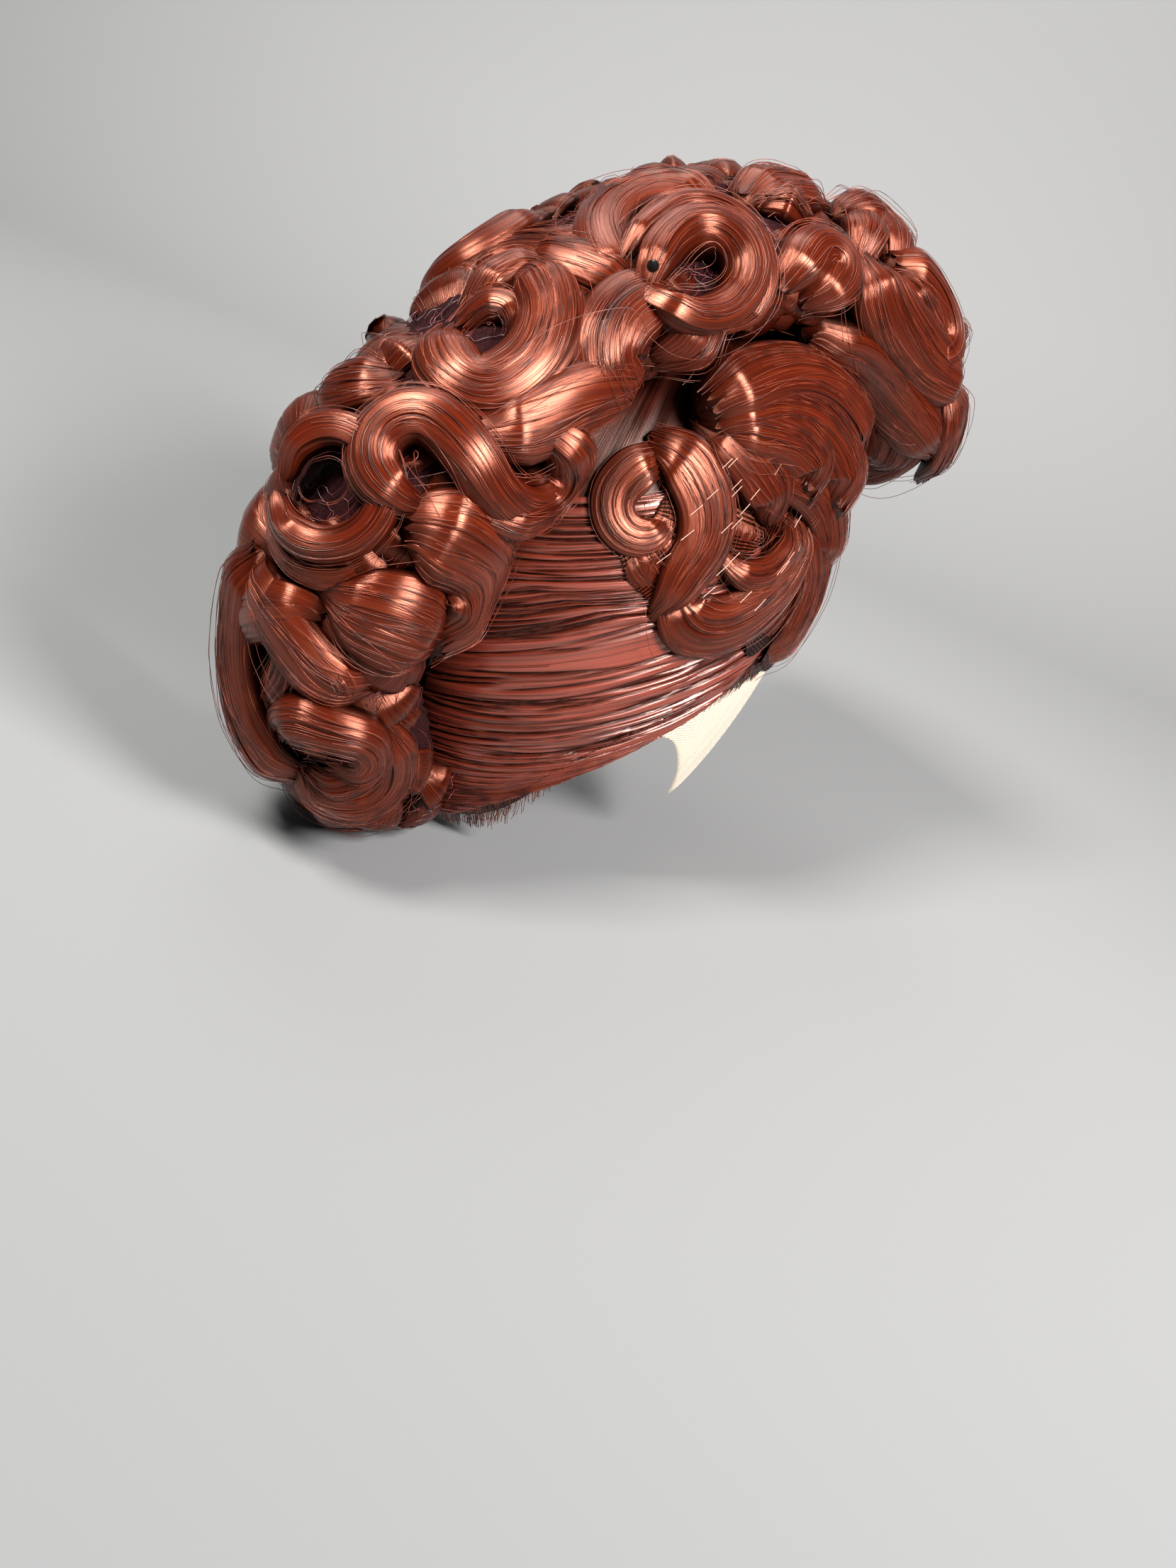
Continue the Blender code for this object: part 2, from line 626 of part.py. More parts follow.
def panel_grid(lift, bearings, rib):
    """Grid from the median plane's gap at the crown down to the hairline, with soft ribs."""
    grid = []
    for r in range(SHELL_ROWS + 1):
        share = r / SHELL_ROWS
        line = []
        for bearing in bearings:
            elevation = 90 + (edge_elevation(1, bearing) - 90) * share
            comb = math.sin(math.radians(bearing * RIB_TURNS + elevation * RIB_LEAN))
            wave = rib * comb * math.sin(math.pi * share)
            point = Head.point(elevation, bearing, lift + wave)
            point[0] = min(point[0], -CLEARANCE / 2)
            line.append(point)
        grid.append(line)
    return grid


def make_lace():
    """Sheer strip in front of the hairline, with a tab before each ear."""
    gap = math.degrees(LACE_GAP / HEAD_HALF_WIDTH)
    first, last = LACE_BEARINGS
    bearings = [first + (last - first) * k / LACE_COLUMNS for k in range(LACE_COLUMNS + 1)]
    grids = []
    for lift in (0.0, LACE_WALL):
        grid = []
        for r in range(LACE_ROWS + 1):
            line = []
            for bearing in bearings:
                high = edge_elevation(1, bearing) - gap
                low = min(edge_elevation(2, bearing), high - 1.0)
                line.append(Head.point(high + (low - high) * r / LACE_ROWS, bearing, lift))
            grid.append(line)
        grids.append(grid)
    return shell("lace_front", *grids)


def make_padding(panels):
    """Core of the crest, from the nape to the brow, cut to sit on the panels."""
    columns = PADDING_SIDES
    first, last = PADDING_ANGLES
    vertices = []
    for k in range(PADDING_STATIONS):
        u = first + (last - first) * k / (PADDING_STATIONS - 1)
        from_end = min(k, PADDING_STATIONS - 1 - k)
        scale = PADDING_END_SCALES[from_end] if from_end < len(PADDING_END_SCALES) else 1.0
        core, depth, half = Crest.section(u)
        over = math.radians(u)
        ray = np.array([0.0, math.cos(over), math.sin(over)])
        for c in range(columns):
            turn = 2 * math.pi * c / columns
            out = (depth - PADDING_INSET) * scale * math.cos(turn)
            side = (half - PADDING_INSET) * scale * math.sin(turn)
            vertices.append(HEAD_CENTRE + ray * (core + out) + np.array([-side, 0.0, 0.0]))
    faces = []
    for k in range(PADDING_STATIONS - 1):
        for c in range(columns):
            d = (c + 1) % columns
            faces.append((k * columns + c, k * columns + d, (k + 1) * columns + d, (k + 1) * columns + c))
    faces.append(tuple(range(columns)))
    faces.append(tuple(range((PADDING_STATIONS - 1) * columns, PADDING_STATIONS * columns)))
    padding = mesh_object("padding", vertices, faces)
    face_out(padding)
    cut_clear(padding, [panels])
    return padding


def seat_solid():
    """Solid of the head and its panels, grown by the clearance, for what sits on the panels."""
    half = panel_bearings()
    bearings = half + [360 - bearing for bearing in half[::-1]]
    grid = panel_grid(PANEL_OUTER + CLEARANCE, half, PANEL_RIB)
    rows = []
    for row in grid[1:]:
        rows.append(row + [point * np.array([-1.0, 1.0, 1.0]) for point in row[::-1]])
    rows.append([Head.point(SEAT_LOW, bearing, PANEL_OUTER + CLEARANCE) for bearing in bearings])
    columns = len(bearings)
    vertices = [Head.point(90, 0, PANEL_OUTER + CLEARANCE)] + [point for row in rows for point in row]
    faces = []
    for c in range(columns):
        d = (c + 1) % columns
        faces.append((0, 1 + c, 1 + d))
        for r in range(len(rows) - 1):
            a, b = 1 + r * columns + c, 1 + r * columns + d
            if c < len(half):
                faces.extend([(a, a + columns, b + columns), (a, b + columns, b)])
            else:
                faces.extend([(a, a + columns, b), (b, a + columns, b + columns)])
    last = 1 + (len(rows) - 1) * columns
    faces.append(tuple(range(last, last + columns)))
    form = mesh_object("seat_form", vertices, faces)
    face_out(form)
    return form


def grown_padding(padding):
    """The padding with its points moved out by the clearance."""
    form = mesh_object("padding_form", [vertex.co for vertex in padding.data.vertices],
                       [tuple(face.vertices) for face in padding.data.polygons])
    face_out(form)
    work = bmesh.new()
    work.from_mesh(form.data)
    work.normal_update()
    shifts = [vertex.normal * CLEARANCE * 1.3 for vertex in work.verts]
    for vertex, shift in zip(work.verts, shifts):
        vertex.co += shift
    work.to_mesh(form.data)
    work.free()
    return form


def lock_sections():
    """Every section of a lock as (name, stations, widths, belly, depths) in stacking order."""
    sections = []
    for name, base, at, heading, runs, widths, belly, lifts in LOCKS:
        surface = BASES[base]
        path = lock_path(surface, at, heading, runs, lifts)
        depths = [lift * LOCK_LIFT + surface.seat for lift in lifts]
        sections.append((name, thin_path(path, math.radians(TURN_STEP), RUN_STEP), widths, belly, depths))
    for name, at, face, radii, start, sweep, widths, belly, lifts, hug in RINGS:
        path = ring_path(at, face, radii, start, sweep, lifts, hug)
        depths = [lift * LOCK_LIFT + Crest.seat for lift in lifts]
        sections.append((name, thin_path(path, math.radians(TURN_STEP), RUN_STEP), widths, belly, depths))
    return sections


def make_locks(seats, pin_form):
    """All locks, each cut clear of its seats and of the locks that lie over it."""
    names = []
    solids = {}
    forms = {}
    for name, stations, widths, belly, depths in lock_sections():
        solid = tube(name, stations, widths, belly, depths)
        form = tube(name + "_form", stations, widths, belly, depths, LOCK_GAP)
        if name in solids:
            boolean(solids[name], solid, "UNION")
            forms[name].append(form)
            bpy.data.objects.remove(solid)
        else:
            names.append(name)
            solids[name] = solid
            forms[name] = [form]
    for name in LEFT_LOCKS:
        left = name.replace("right", "left") if "right" in name else name + "_left"
        names.append(left)
        solids[left] = mirrored(solids[name], left)
        forms[left] = [mirrored(form, left + "_form") for form in forms[name]]
    for k, name in enumerate(names):
        above = [form for other in names[k + 1:] for form in forms[other]]
        cut_clear(solids[name], above + seats + [pin_form])
    return [solids[name] for name in names]


def make_pin(name, grow):
    """Round-headed hairpin beside the crown ring, its shaft pushed into the hair."""
    _, _, out = surface_frame(Crest, *PIN_PLACE)
    foot = Crest.point(*PIN_PLACE, PIN_LIFT * LOCK_LIFT)
    work = bmesh.new()
    bmesh.ops.create_uvsphere(work, u_segments=10, v_segments=6, radius=PIN_HEAD_RADIUS + grow)
    head = bpy.data.meshes.new(name)
    work.to_mesh(head)
    work.free()
    pin = bpy.data.objects.new(name, head)
    SCRATCH.objects.link(pin)
    work = bmesh.new()
    bmesh.ops.create_cone(work, cap_ends=True, segments=8, radius1=PIN_SHAFT_RADIUS + grow,
                          radius2=PIN_SHAFT_RADIUS + grow, depth=PIN_LENGTH + 2 * grow)
    for vertex in work.verts:
        vertex.co.z -= PIN_LENGTH / 2
    shaft = bpy.data.meshes.new(name + "_shaft")
    work.to_mesh(shaft)
    work.free()
    rod = bpy.data.objects.new(name + "_shaft", shaft)
    SCRATCH.objects.link(rod)
    boolean(pin, rod, "UNION")
    bpy.data.objects.remove(rod)
    side = unit(np.cross(out, np.array([0.0, 0.0, 1.0])))
    up = np.cross(out, side)
    for vertex in pin.data.vertices:
        place = foot + side * vertex.co.x + up * vertex.co.y + out * vertex.co.z
        vertex.co = tuple(place)
    face_out(pin)
    return pin


def finish(shape, name, look):
    """Put a finished shape in the wig's collection with its own material."""
    shape.name = name
    shape.data.name = name
    shape.hide_render = False
    shape.display_type = "TEXTURED"
    shape.data.materials.clear()
    shape.data.materials.append(make_material(name, look))
    SCRATCH.objects.unlink(shape)
    WIG.objects.link(shape)


def make_material(name, look):
    colour, roughness = MATERIALS[look]
    material = bpy.data.materials.new(name + "_" + look)
    material.use_nodes = True
    shader = material.node_tree.nodes["Principled BSDF"]
    shader.inputs["Base Color"].default_value = colour
    shader.inputs["Roughness"].default_value = roughness
    shader.inputs["Metallic"].default_value = 0.0
    return material


for old in list(bpy.data.objects):
    bpy.data.objects.remove(old)
WIG = bpy.data.collections.new("updo_wig")
SCRATCH = bpy.data.collections.new("cutters")
bpy.context.scene.collection.children.link(WIG)
bpy.context.scene.collection.children.link(SCRATCH)

cap = make_cap()
panel_right = make_panel()
panel_left = mirrored(panel_right, "side_panel_left")
lace = make_lace()
seat_form = seat_solid()
padding = make_padding(seat_form)
padding_form = grown_padding(padding)
pin = make_pin("hairpin", 0.0)
pin_form = make_pin("hairpin_form", CLEARANCE)
locks = make_locks([seat_form, padding_form], pin_form)
cut_clear(padding, [pin_form])

finish(cap, "cap", "cap_lace")
finish(lace, "lace_front", "cap_lace")
finish(panel_right, "side_panel_right", "hair_auburn")
finish(panel_left, "side_panel_left", "hair_auburn")
finish(padding, "padding", "padding_net")
finish(pin, "hairpin", "pin_black")
for lock in locks:
    finish(lock, lock.name, "hair_auburn")
for form in list(SCRATCH.objects):
    bpy.data.objects.remove(form)
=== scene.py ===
import math

import bpy
import numpy as np
from mathutils import Matrix, Vector


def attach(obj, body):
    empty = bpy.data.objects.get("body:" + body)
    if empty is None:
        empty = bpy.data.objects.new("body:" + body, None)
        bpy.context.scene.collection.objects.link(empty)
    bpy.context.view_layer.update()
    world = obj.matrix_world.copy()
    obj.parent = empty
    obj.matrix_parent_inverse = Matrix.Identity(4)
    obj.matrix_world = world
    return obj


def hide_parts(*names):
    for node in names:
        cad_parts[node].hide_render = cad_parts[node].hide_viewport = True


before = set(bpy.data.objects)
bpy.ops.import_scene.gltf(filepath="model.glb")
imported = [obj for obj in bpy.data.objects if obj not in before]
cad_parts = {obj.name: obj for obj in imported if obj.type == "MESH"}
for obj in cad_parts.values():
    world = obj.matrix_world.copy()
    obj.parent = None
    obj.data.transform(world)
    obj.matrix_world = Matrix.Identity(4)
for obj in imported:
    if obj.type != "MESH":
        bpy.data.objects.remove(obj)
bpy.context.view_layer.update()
scene = bpy.context.scene

# sizes of the head, the cap and the crest, as in the part
head = {"halfWidth": 0.076, "halfLength": 0.096, "above": 0.095, "below": 0.160}
wall = {"cap": 0.0014, "gap": 0.0008, "panel": 0.0035}
crest = {
    "radius": 0.140, "depth": 0.038, "halfWidth": 0.041, "inset": 0.0080,
    # angle over the head, then shares of core radius, depth and half width
    "sections": (
        (-60, 0.86, 0.37, 0.60), (-48, 0.94, 0.84, 0.88), (-32, 1.00, 1.00, 0.93),
        (-10, 1.01, 0.95, 0.98), (10, 0.965, 1.00, 1.00), (30, 0.886, 0.82, 1.02),
        (50, 0.829, 0.74, 1.10), (70, 0.821, 0.76, 1.22), (90, 0.843, 0.87, 1.41),
        (110, 0.871, 1.00, 1.71), (130, 0.829, 1.02, 2.00), (150, 0.786, 0.79, 1.95),
    ),
}
# bearing round the head from the nape, hairline elevation, lace elevation
edges = (
    (0, -43, -43), (25, -41, -41), (38, -36, -36), (49, -27, -27), (59, -21, -21),
    (70, -16, -18), (80, -12, -19), (92, -8, -26), (104, -6, -34), (114, -3, -29),
    (124, 1, -11), (140, 11, 3), (160, 18, 10), (180, 20, 12),
)
lockSize = {"curl": 0.010, "width": 0.014, "lift": 0.010, "seat": 0.0080, "step": 0.0013,
            "below": 0.0032, "ringBelow": 0.0040, "onPanel": 0.0027}

# each row is one section of a lock: name, base, start angles, heading, runs of (length, turn),
# widths, belly and lifts, in the units of lockSize
lockRows = (
    ("curl_nape_hollow", "crest", (-9, -6), 10, ((2.1, -110), (3.0, -35)), (0.6, 0.8), 0, (-0.3, -0.4)),
    ("curl_left_low", "crest", (23, -5), -110, ((1.6, -45), (1.6, 0), (1.0, 60)), (1.2, 1.3), 0, (0, 0)),
    ("curl_left_mid", "crest", (29, -21), -70, ((2.7, -45),), (1.2, 1.2), 0, (-0.2, -0.2)),
    ("curl_left_high", "crest", (33, -45), 110, ((2.0, -20), (1.2, -40)), (1.3, 1.2), 0, (-0.3, -0.3)),
    ("curl_nape_long", "crest", (-3, -27), -125, ((1.6, 30), (3.5, 20), (5.0, 40)), (1.5, 1.2), 0, (0.4, 0.3)),
    ("curl_nape_low", "crest", (-36, 10), -40, ((1.2, 40), (2.0, 20), (2.0, 40)), (0.8, 0.8), 0, (0, 0)),
    ("curl_nape_outer", "crest", (-20, 75), -50, ((1.8, -30), (3.5, -100), (2.6, -50)), (0.9, 0.9), 0, (0.1, 0.1)),
    ("curl_nape_middle", "crest", (-19, 69), -55, ((3.0, -95), (2.2, -40)), (0.7, 0.7), 0, (0.2, 0.2)),
    ("curl_nape_rosette", "crest", (-22.5, 17), 105, ((2.1, -110), (2.0, -15), (2.4, -160), (0.8, 0)),
     (1.2, 0.6), 0, (0.5, 0.4)),
    ("curl_nape_diagonal", "crest", (-6, -28), 15, ((1.5, -40), (3.0, -10), (2.7, 40)), (0.8, 1.0), 0.3, (0.2, 0)),
    ("curl_nape_diagonal", "crest", (-11, 34), -9, ((0.8, -10), (1.3, -150)), (0.6, 0.5), 0, (0.3, 0.3)),
    ("curl_back_smooth", "crest", (-3, 21), 3, ((2.0, -5), (3.6, -20)), (0.7, 1.7), 0.6, (0, 0.5)),
    ("curl_back_wide", "crest", (7.5, 50), 35, ((1.0, -25), (2.5, -20), (1.7, -55), (2.6, -80)),
     (1.9, 1.4), 0, (0.5, 0.9)),
    ("curl_back_side", "crest", (26, 72), 28, ((2.2, -30), (1.2, -65), (1.2, -60), (2.8, -25)),
     (1.0, 0.9), 0, (1.0, 1.0)),
    ("curl_back_ess", "crest", (10.5, 52), 195, ((1.8, -30), (4.1, -165), (2.4, -20), (2.4, 40), (3.0, 90)),
     (0.8, 0.9), 0.1, (0.5, 0.9)),
    ("curl_back_rise", "crest", (21, 49), 45, ((2.6, 20), (3.0, -15), (1.6, 10)), (1.1, 1.1), 0.2, (0.7, 0.2)),
    ("curl_back_top", "crest", (38, -35), 115, ((1.5, -45), (1.2, -45), (3.4, -25)), (1.0, 1.0), 0, (-0.2, -0.2)),
    ("curl_back_top", "crest", (46, -22), 18, ((3.0, 0), (2.2, -15)), (1.0, 1.1), 0, (-0.1, -0.1)),
    ("curl_crown_side", "crest", (42, 112), -125, ((2.5, -50), (1.6, -65), (3.4, -70)), (1.3, 1.3), 0, (0.3, 0.3)),
    ("curl_back_slip", "crest", (45, 12), -15, ((2.5, -35), (3.0, -45)), (0.5, 0.5), 0.1, (0.1, 0.1)),
    ("curl_back_swirl", "crest", (34, -12), 100, ((2.4, -30), (1.5, -30)), (1.0, 0.9), 0, (0, 0)),
    ("curl_back_swirl", "crest", (31, -3), 90, ((1.4, -40), (2.2, -150)), (0.8, 0.5), 0, (0.1, -0.1)),
    ("curl_back_swirl", "crest", (43, -5), 5, ((3.0, -50), (3.3, -60), (1.5, -75), (2.6, -65)),
     (1.15, 1.15), 0, (0.4, 0.3)),
    ("curl_crown_left", "crest", (67, 6), 165, ((1.6, 40), (2.4, 140), (1.3, 40)), (0.7, 0.7), 0, (-0.2, -0.2)),
    ("curl_crown_left", "crest", (51, 37), 180, ((1.5, -20), (3.4, -45), (2.6, -50), (2.4, -105)),
     (1.0, 1.0), 0, (0, 0)),
    ("curl_crown_drop", "crest", (61, 76), -55, ((3.2, -10),), (1.6, 1.4), 0, (0.4, 0.1)),
    ("curl_crown_ring", "crest", (52, 24), 115, ((3.3, -20), (2.6, -90), (3.0, -40), (2.4, -50)),
     (0.65, 0.65), 0, (0.5, 0.5)),
    ("curl_crown_ring", "crest", (50, 45), 140, ((3.3, -40), (2.4, -95), (2.6, -75), (2.4, -60), (1.8, -40)),
     (0.62, 0.60), 0.08, (0.9, 0.9)),
    ("curl_top_low", "crest", (82, 15), 48, ((2.4, -10),), (1.1, 1.1), 0, (0.3, 0.3)),
    ("curl_top_high", "crest", (80, 14), 105, ((2.1, -20), (2.8, -15)), (1.4, 1.4), 0, (0.2, 0.1)),
    ("curl_top_end", "crest", (102, 26), -45, ((3.6, 20),), (1.1, 1.0), 0, (0.4, 0.3)),
    ("curl_top_end", "crest", (96, 25), 95, ((2.0, -20), (1.0, -90), (2.2, 0)), (1.2, 1.2), 0, (0.5, 0.5)),
    ("curl_front_far_low", "crest", (124, 69), 50, ((2.0, 30), (3.6, -20)), (1.6, 1.5), 0, (0.3, -0.2)),
    ("curl_front_far", "crest", (114, 55), 75, ((2.8, -20),), (1.8, 1.6), 0, (0.6, 0.5)),
    ("curl_front_ring", "crest", (103, 52), 0, ((2.0, 50), (3.8, 20)), (1.0, 1.0), 0, (0.3, 0.3)),
    ("curl_front_ring", "crest", (100, 51), 100, ((2.2, -40), (2.2, -30), (1.4, -70), (1.8, -60)),
     (1.0, 1.0), 0, (0.6, 0.6)),
    ("curl_front_low", "head", (44, 47), -5, ((4.5, -20), (1.4, -60)), (1.4, 1.4), 0, (1.6, 1.6)),
    ("curl_front_low", "head", (40, 58), 12, ((4.6, -12), (3.2, -30), (2.4, -70)), (1.7, 1.7), 0, (1.4, 1.4)),
    ("curl_front_inner", "head", (42, 56), 42, ((5.5, -22), (4.0, -50), (2.0, -50)), (1.8, 1.8), 0, (1.8, 1.6)),
    ("curl_front_inner", "head", (41, 52), 30, ((3.5, -20), (2.0, -40), (1.4, -90)), (1.6, 1.5), 0, (2.2, 2.2)),
    ("curl_front_main", "head", (41, 50), 50, ((4.5, -30), (4.0, -50), (2.0, -70)), (1.8, 1.6), 0, (2.4, 2.4)),
    ("curl_front_upper", "head", (42, 48), 55, ((4.2, -20), (2.8, -20), (3.7, -35)), (1.5, 1.5), 0, (2.8, 2.8)),
    ("curl_front_end", "crest", (116, 100), 60, ((3.4, -30), (3.5, -50)), (1.7, 1.7), 0, (0.0, -0.2)),
    ("curl_front_end", "crest", (113, 120), 80, ((3.0, -30), (1.6, -60)), (1.5, 1.4), 0, (0.4, 0.4)),
    ("curl_front_arc", "crest", (84, 116), 85, ((3.7, -15), (2.3, 10), (3.0, -5)), (1.1, 1.2), 0.2, (0.8, 0.8)),
    ("curl_top_loop", "crest", (73.5, 72), 140, ((2.5, -30), (1.4, -90), (1.0, -80), (2.0, 0)),
     (1.0, 1.0), 0, (0.5, 0.5)),
    ("curl_front_long", "crest", (94, 53), -25, ((1.2, 40), (1.8, 35), (6.0, 28)), (1.3, 1.1), 0.2, (0.6, 0.6)),
    ("wave_right_hook", "head", (34, 47), -167, ((2.6, 60), (2.4, 120), (2.0, 110)), (0.95, 0.6), 0.1, (0.9, 0.8)),
    ("wave_right_arch", "head", (19, 41), -35, ((3.4, 0),), (1.3, 1.2), 0, (0.7, 0.7)),
    ("wave_right_arch", "head", (33, 41), 8, ((2.4, -55), (2.0, -50), (2.2, 20)), (0.7, 0.6), 0, (0.8, 0.8)),
    ("wave_right_arch", "head", (36, 38), 5, ((3.2, -45), (2.5, -60), (2.6, 20)), (1.1, 0.7), 0.4, (1.25, 1.2)),
    ("wave_right_fan", "head", (30, 72), -110, ((2.6, 30),), (1.4, 1.3), 0, (0.7, 0.6)),
    ("wave_right_fan", "head", (10, 57), -88, ((1.2, 45), (1.5, 50), (1.5, 25), (3.2, 25), (2.4, 55)),
     (1.2, 0.6), 0.5, (1.0, 1.1)),
    ("wave_right_fan", "head", (18, 65), -61, ((1.3, 50), (1.8, 55), (2.4, 45)), (0.6, 0.5), 0.1, (1.3, 1.2)),
    ("wave_right_front", "head", (24, 77), -12, ((1.8, -35), (2.4, -50), (1.8, -20)), (1.3, 1.3), 0, (0.7, 0.7)),
    ("wave_right_front", "head", (27, 90), -29, ((2.4, -25), (3.0, -50), (2.3, -30)), (1.2, 1.4), 0.3, (1.1, 1.0)),
)
# name, centre, turn of the face, radii, start, sweep, widths, belly, lifts, hug
ringRows = (
    ("curl_back_ring", (7, 10), 15, (2.5, 2.5), -15, -145, (0.7, 0.7), 0.4, (-0.4, -0.4), 0.6),
    ("curl_back_ring", (8, 10), 22, (1.72, 1.92), 205, -350, (0.75, 0.9), 0, (0.3, 0.5), 0.25),
)
mirroredLocks = (
    "curl_nape_outer", "curl_back_smooth", "curl_back_wide", "curl_back_side", "curl_crown_side",
    "curl_front_main", "curl_front_low", "curl_front_arc",
    "wave_right_arch", "wave_right_fan", "wave_right_front",
)

headCentre = np.array([0.0, 0.0, -head["above"]])
panelOuter = wall["cap"] + wall["gap"] + wall["panel"]
fullTurn = 6.28  # range of a random phase


# surfaces and paths, worked out as in the part
def unit(vector):
    return vector / np.linalg.norm(vector)


def tableValue(rows, column, at):  # smooth value between a table's rows
    last = len(rows) - 1
    i = 0
    while i < last - 1 and at > rows[i + 1][0]:
        i += 1
    span = rows[i + 1][0] - rows[i][0]
    t = (at - rows[i][0]) / span
    low, high = rows[i][column], rows[i + 1][column]
    before, after = max(i - 1, 0), min(i + 2, last)
    slopeLow = (high - rows[before][column]) / (rows[i + 1][0] - rows[before][0]) * span
    slopeHigh = (rows[after][column] - low) / (rows[after][0] - rows[i][0]) * span
    return ((2 * t**3 - 3 * t**2 + 1) * low + (t**3 - 2 * t**2 + t) * slopeLow
            + (3 * t**2 - 2 * t**3) * high + (t**3 - t**2) * slopeHigh)


def crestSection(u):
    names = ("radius", "depth", "halfWidth")
    return [tableValue(crest["sections"], k + 1, u) * crest[name] for k, name in enumerate(names)]


def crestPoint(u, v, lift=0.0):
    core, depth, half = crestSection(u)
    over, turn = math.radians(u), math.radians(v)
    out = core + (depth + lift) * math.cos(turn)
    return headCentre + np.array([-(half + lift) * math.sin(turn), math.cos(over) * out, math.sin(over) * out])


def crestAngles(point, lift):
    d = point - headCentre
    u = math.degrees(math.atan2(d[2], d[1]))
    u += 360 if u < -90 else 0
    core, depth, half = crestSection(u)
    out = (math.hypot(d[1], d[2]) - core) / (depth + lift)
    return u, math.degrees(math.atan2(-d[0] / (half + lift), out))


def headPoint(u, v, lift=0.0):
    up, turn = math.radians(u), math.radians(v)
    height = head["above"] if u > 0 else head["below"]
    return headCentre + np.array([
        -(head["halfWidth"] + lift) * math.cos(up) * math.sin(turn),
        (head["halfLength"] + lift) * math.cos(up) * math.cos(turn),
        (height + lift) * math.sin(up),
    ])


def headAngles(point, lift):
    d = point - headCentre
    height = head["above"] if d[2] > 0 else head["below"]
    share = unit(d / (np.array([head["halfWidth"], head["halfLength"], height]) + lift))
    return math.degrees(math.asin(share[2])), math.degrees(math.atan2(-share[0], share[1]))


bases = {"crest": (crestPoint, crestAngles), "head": (headPoint, headAngles)}


def surfaceFrame(pointAt, u, v):  # side, up and outward
    up = unit(pointAt(u + 1, v) - pointAt(u - 1, v))
    side = pointAt(u, v + 1) - pointAt(u, v - 1)
    out = unit(np.cross(side, up))
    if out @ (pointAt(u, v, 0.001) - pointAt(u, v)) < 0:
        out = -out
    return unit(np.cross(up, out)), up, out


def lockPath(base, at, heading, runs, lifts):
    pointAt, anglesAt = bases[base]
    total = sum(run[0] for run in runs) * lockSize["curl"]
    (u, v), lift = at, lifts[0] * lockSize["lift"]
    point = pointAt(u, v, lift)
    side, up, out = surfaceFrame(pointAt, u, v)
    along = side * math.cos(math.radians(heading)) + up * math.sin(math.radians(heading))
    path, done = [(point, out)], 0.0
    for length, bend in runs:
        steps = max(2, round(length * lockSize["curl"] / lockSize["step"]))
        step, angle = length * lockSize["curl"] / steps, math.radians(bend) / steps
        for _ in range(steps):
            along = unit(along * math.cos(angle) + np.cross(out, along) * math.sin(angle))
            done += step
            lift = (lifts[0] + (lifts[1] - lifts[0]) * done / total) * lockSize["lift"]
            u, v = anglesAt(point + along * step, lift)
            point = pointAt(u, v, lift)
            out = surfaceFrame(pointAt, u, v)[2]
            along = unit(along - out * (along @ out))
            path.append((point, out))
    return path


def ringPath(at, face, radii, start, sweep, lifts, hug):
    side, up, out = surfaceFrame(crestPoint, at[0], at[1] + face)
    centre, path = crestPoint(*at), []
    steps = round(abs(sweep) / 5)
    for i in range(steps + 1):
        t = i / steps
        angle = math.radians(start + sweep * t)
        radius = (radii[0] + (radii[1] - radii[0]) * t) * lockSize["curl"]
        lift = (lifts[0] + (lifts[1] - lifts[0]) * t) * lockSize["lift"]
        flat = centre + (side * math.cos(angle) + up * math.sin(angle)) * radius
        u, v = crestAngles(flat, 0.0)
        facing = unit(surfaceFrame(crestPoint, u, v)[2] * hug + out * (1 - hug))
        path.append((crestPoint(u, v, lift) * hug + (flat + out * lift) * (1 - hug), facing))
    return path


# meshes
def makeMesh(name, points, faces, uv=None, material=None, shade=None):  # uv: one pair for each corner of each face
    mesh = bpy.data.meshes.new(name)
    mesh.from_pydata(np.asarray(points).tolist(), [], faces)
    if uv is not None:
        layer = mesh.uv_layers.new(name="strand")
        layer.data.foreach_set("uv", np.asarray(uv, dtype=np.float32).ravel())
    if shade is not None:
        values = mesh.attributes.new("shade", "FLOAT", "POINT").data
        values.foreach_set("value", np.asarray(shade, dtype=np.float32))
    mesh.polygons.foreach_set("use_smooth", np.ones(len(mesh.polygons), dtype=bool))
    piece = bpy.data.objects.new(name, mesh)
    scene.collection.objects.link(piece)
    if material:
        mesh.materials.append(material)
    return piece


def ringFaces(rows, columns, first):  # closed tube of rings with a pole at each end
    faces, start, end = [], first + rows * columns, first + rows * columns + 1
    for c in range(columns):
        d = (c + 1) % columns
        faces.append((start, first + d, first + c))
    for r in range(rows - 1):
        a = first + r * columns
        for c in range(columns):
            d = (c + 1) % columns
            faces.append((a + c, a + d, a + columns + d, a + columns + c))
    a = first + (rows - 1) * columns
    for c in range(columns):
        faces.append((end, a + c, a + (c + 1) % columns))
    return faces


def ringUv(rows, columns, round_, along, shift):  # across in metres, along in metres
    uv = []
    us = [round_ * c / columns + shift[0] for c in range(columns + 1)]
    vs = [value + shift[1] for value in along]
    for c in range(columns):
        uv += [(us[c], vs[0]), (us[c + 1], vs[0]), (us[c], vs[0])]
    for r in range(rows - 1):
        for c in range(columns):
            uv += [(us[c], vs[r]), (us[c + 1], vs[r]), (us[c + 1], vs[r + 1]), (us[c], vs[r + 1])]
    for c in range(columns):
        uv += [(us[c], vs[-1]), (us[c], vs[-1]), (us[c + 1], vs[-1])]
    return uv


def smoothPath(points, passes):
    for _ in range(passes):
        points[1:-1] = (points[:-2] + 2 * points[1:-1] + points[2:]) / 4
    return points


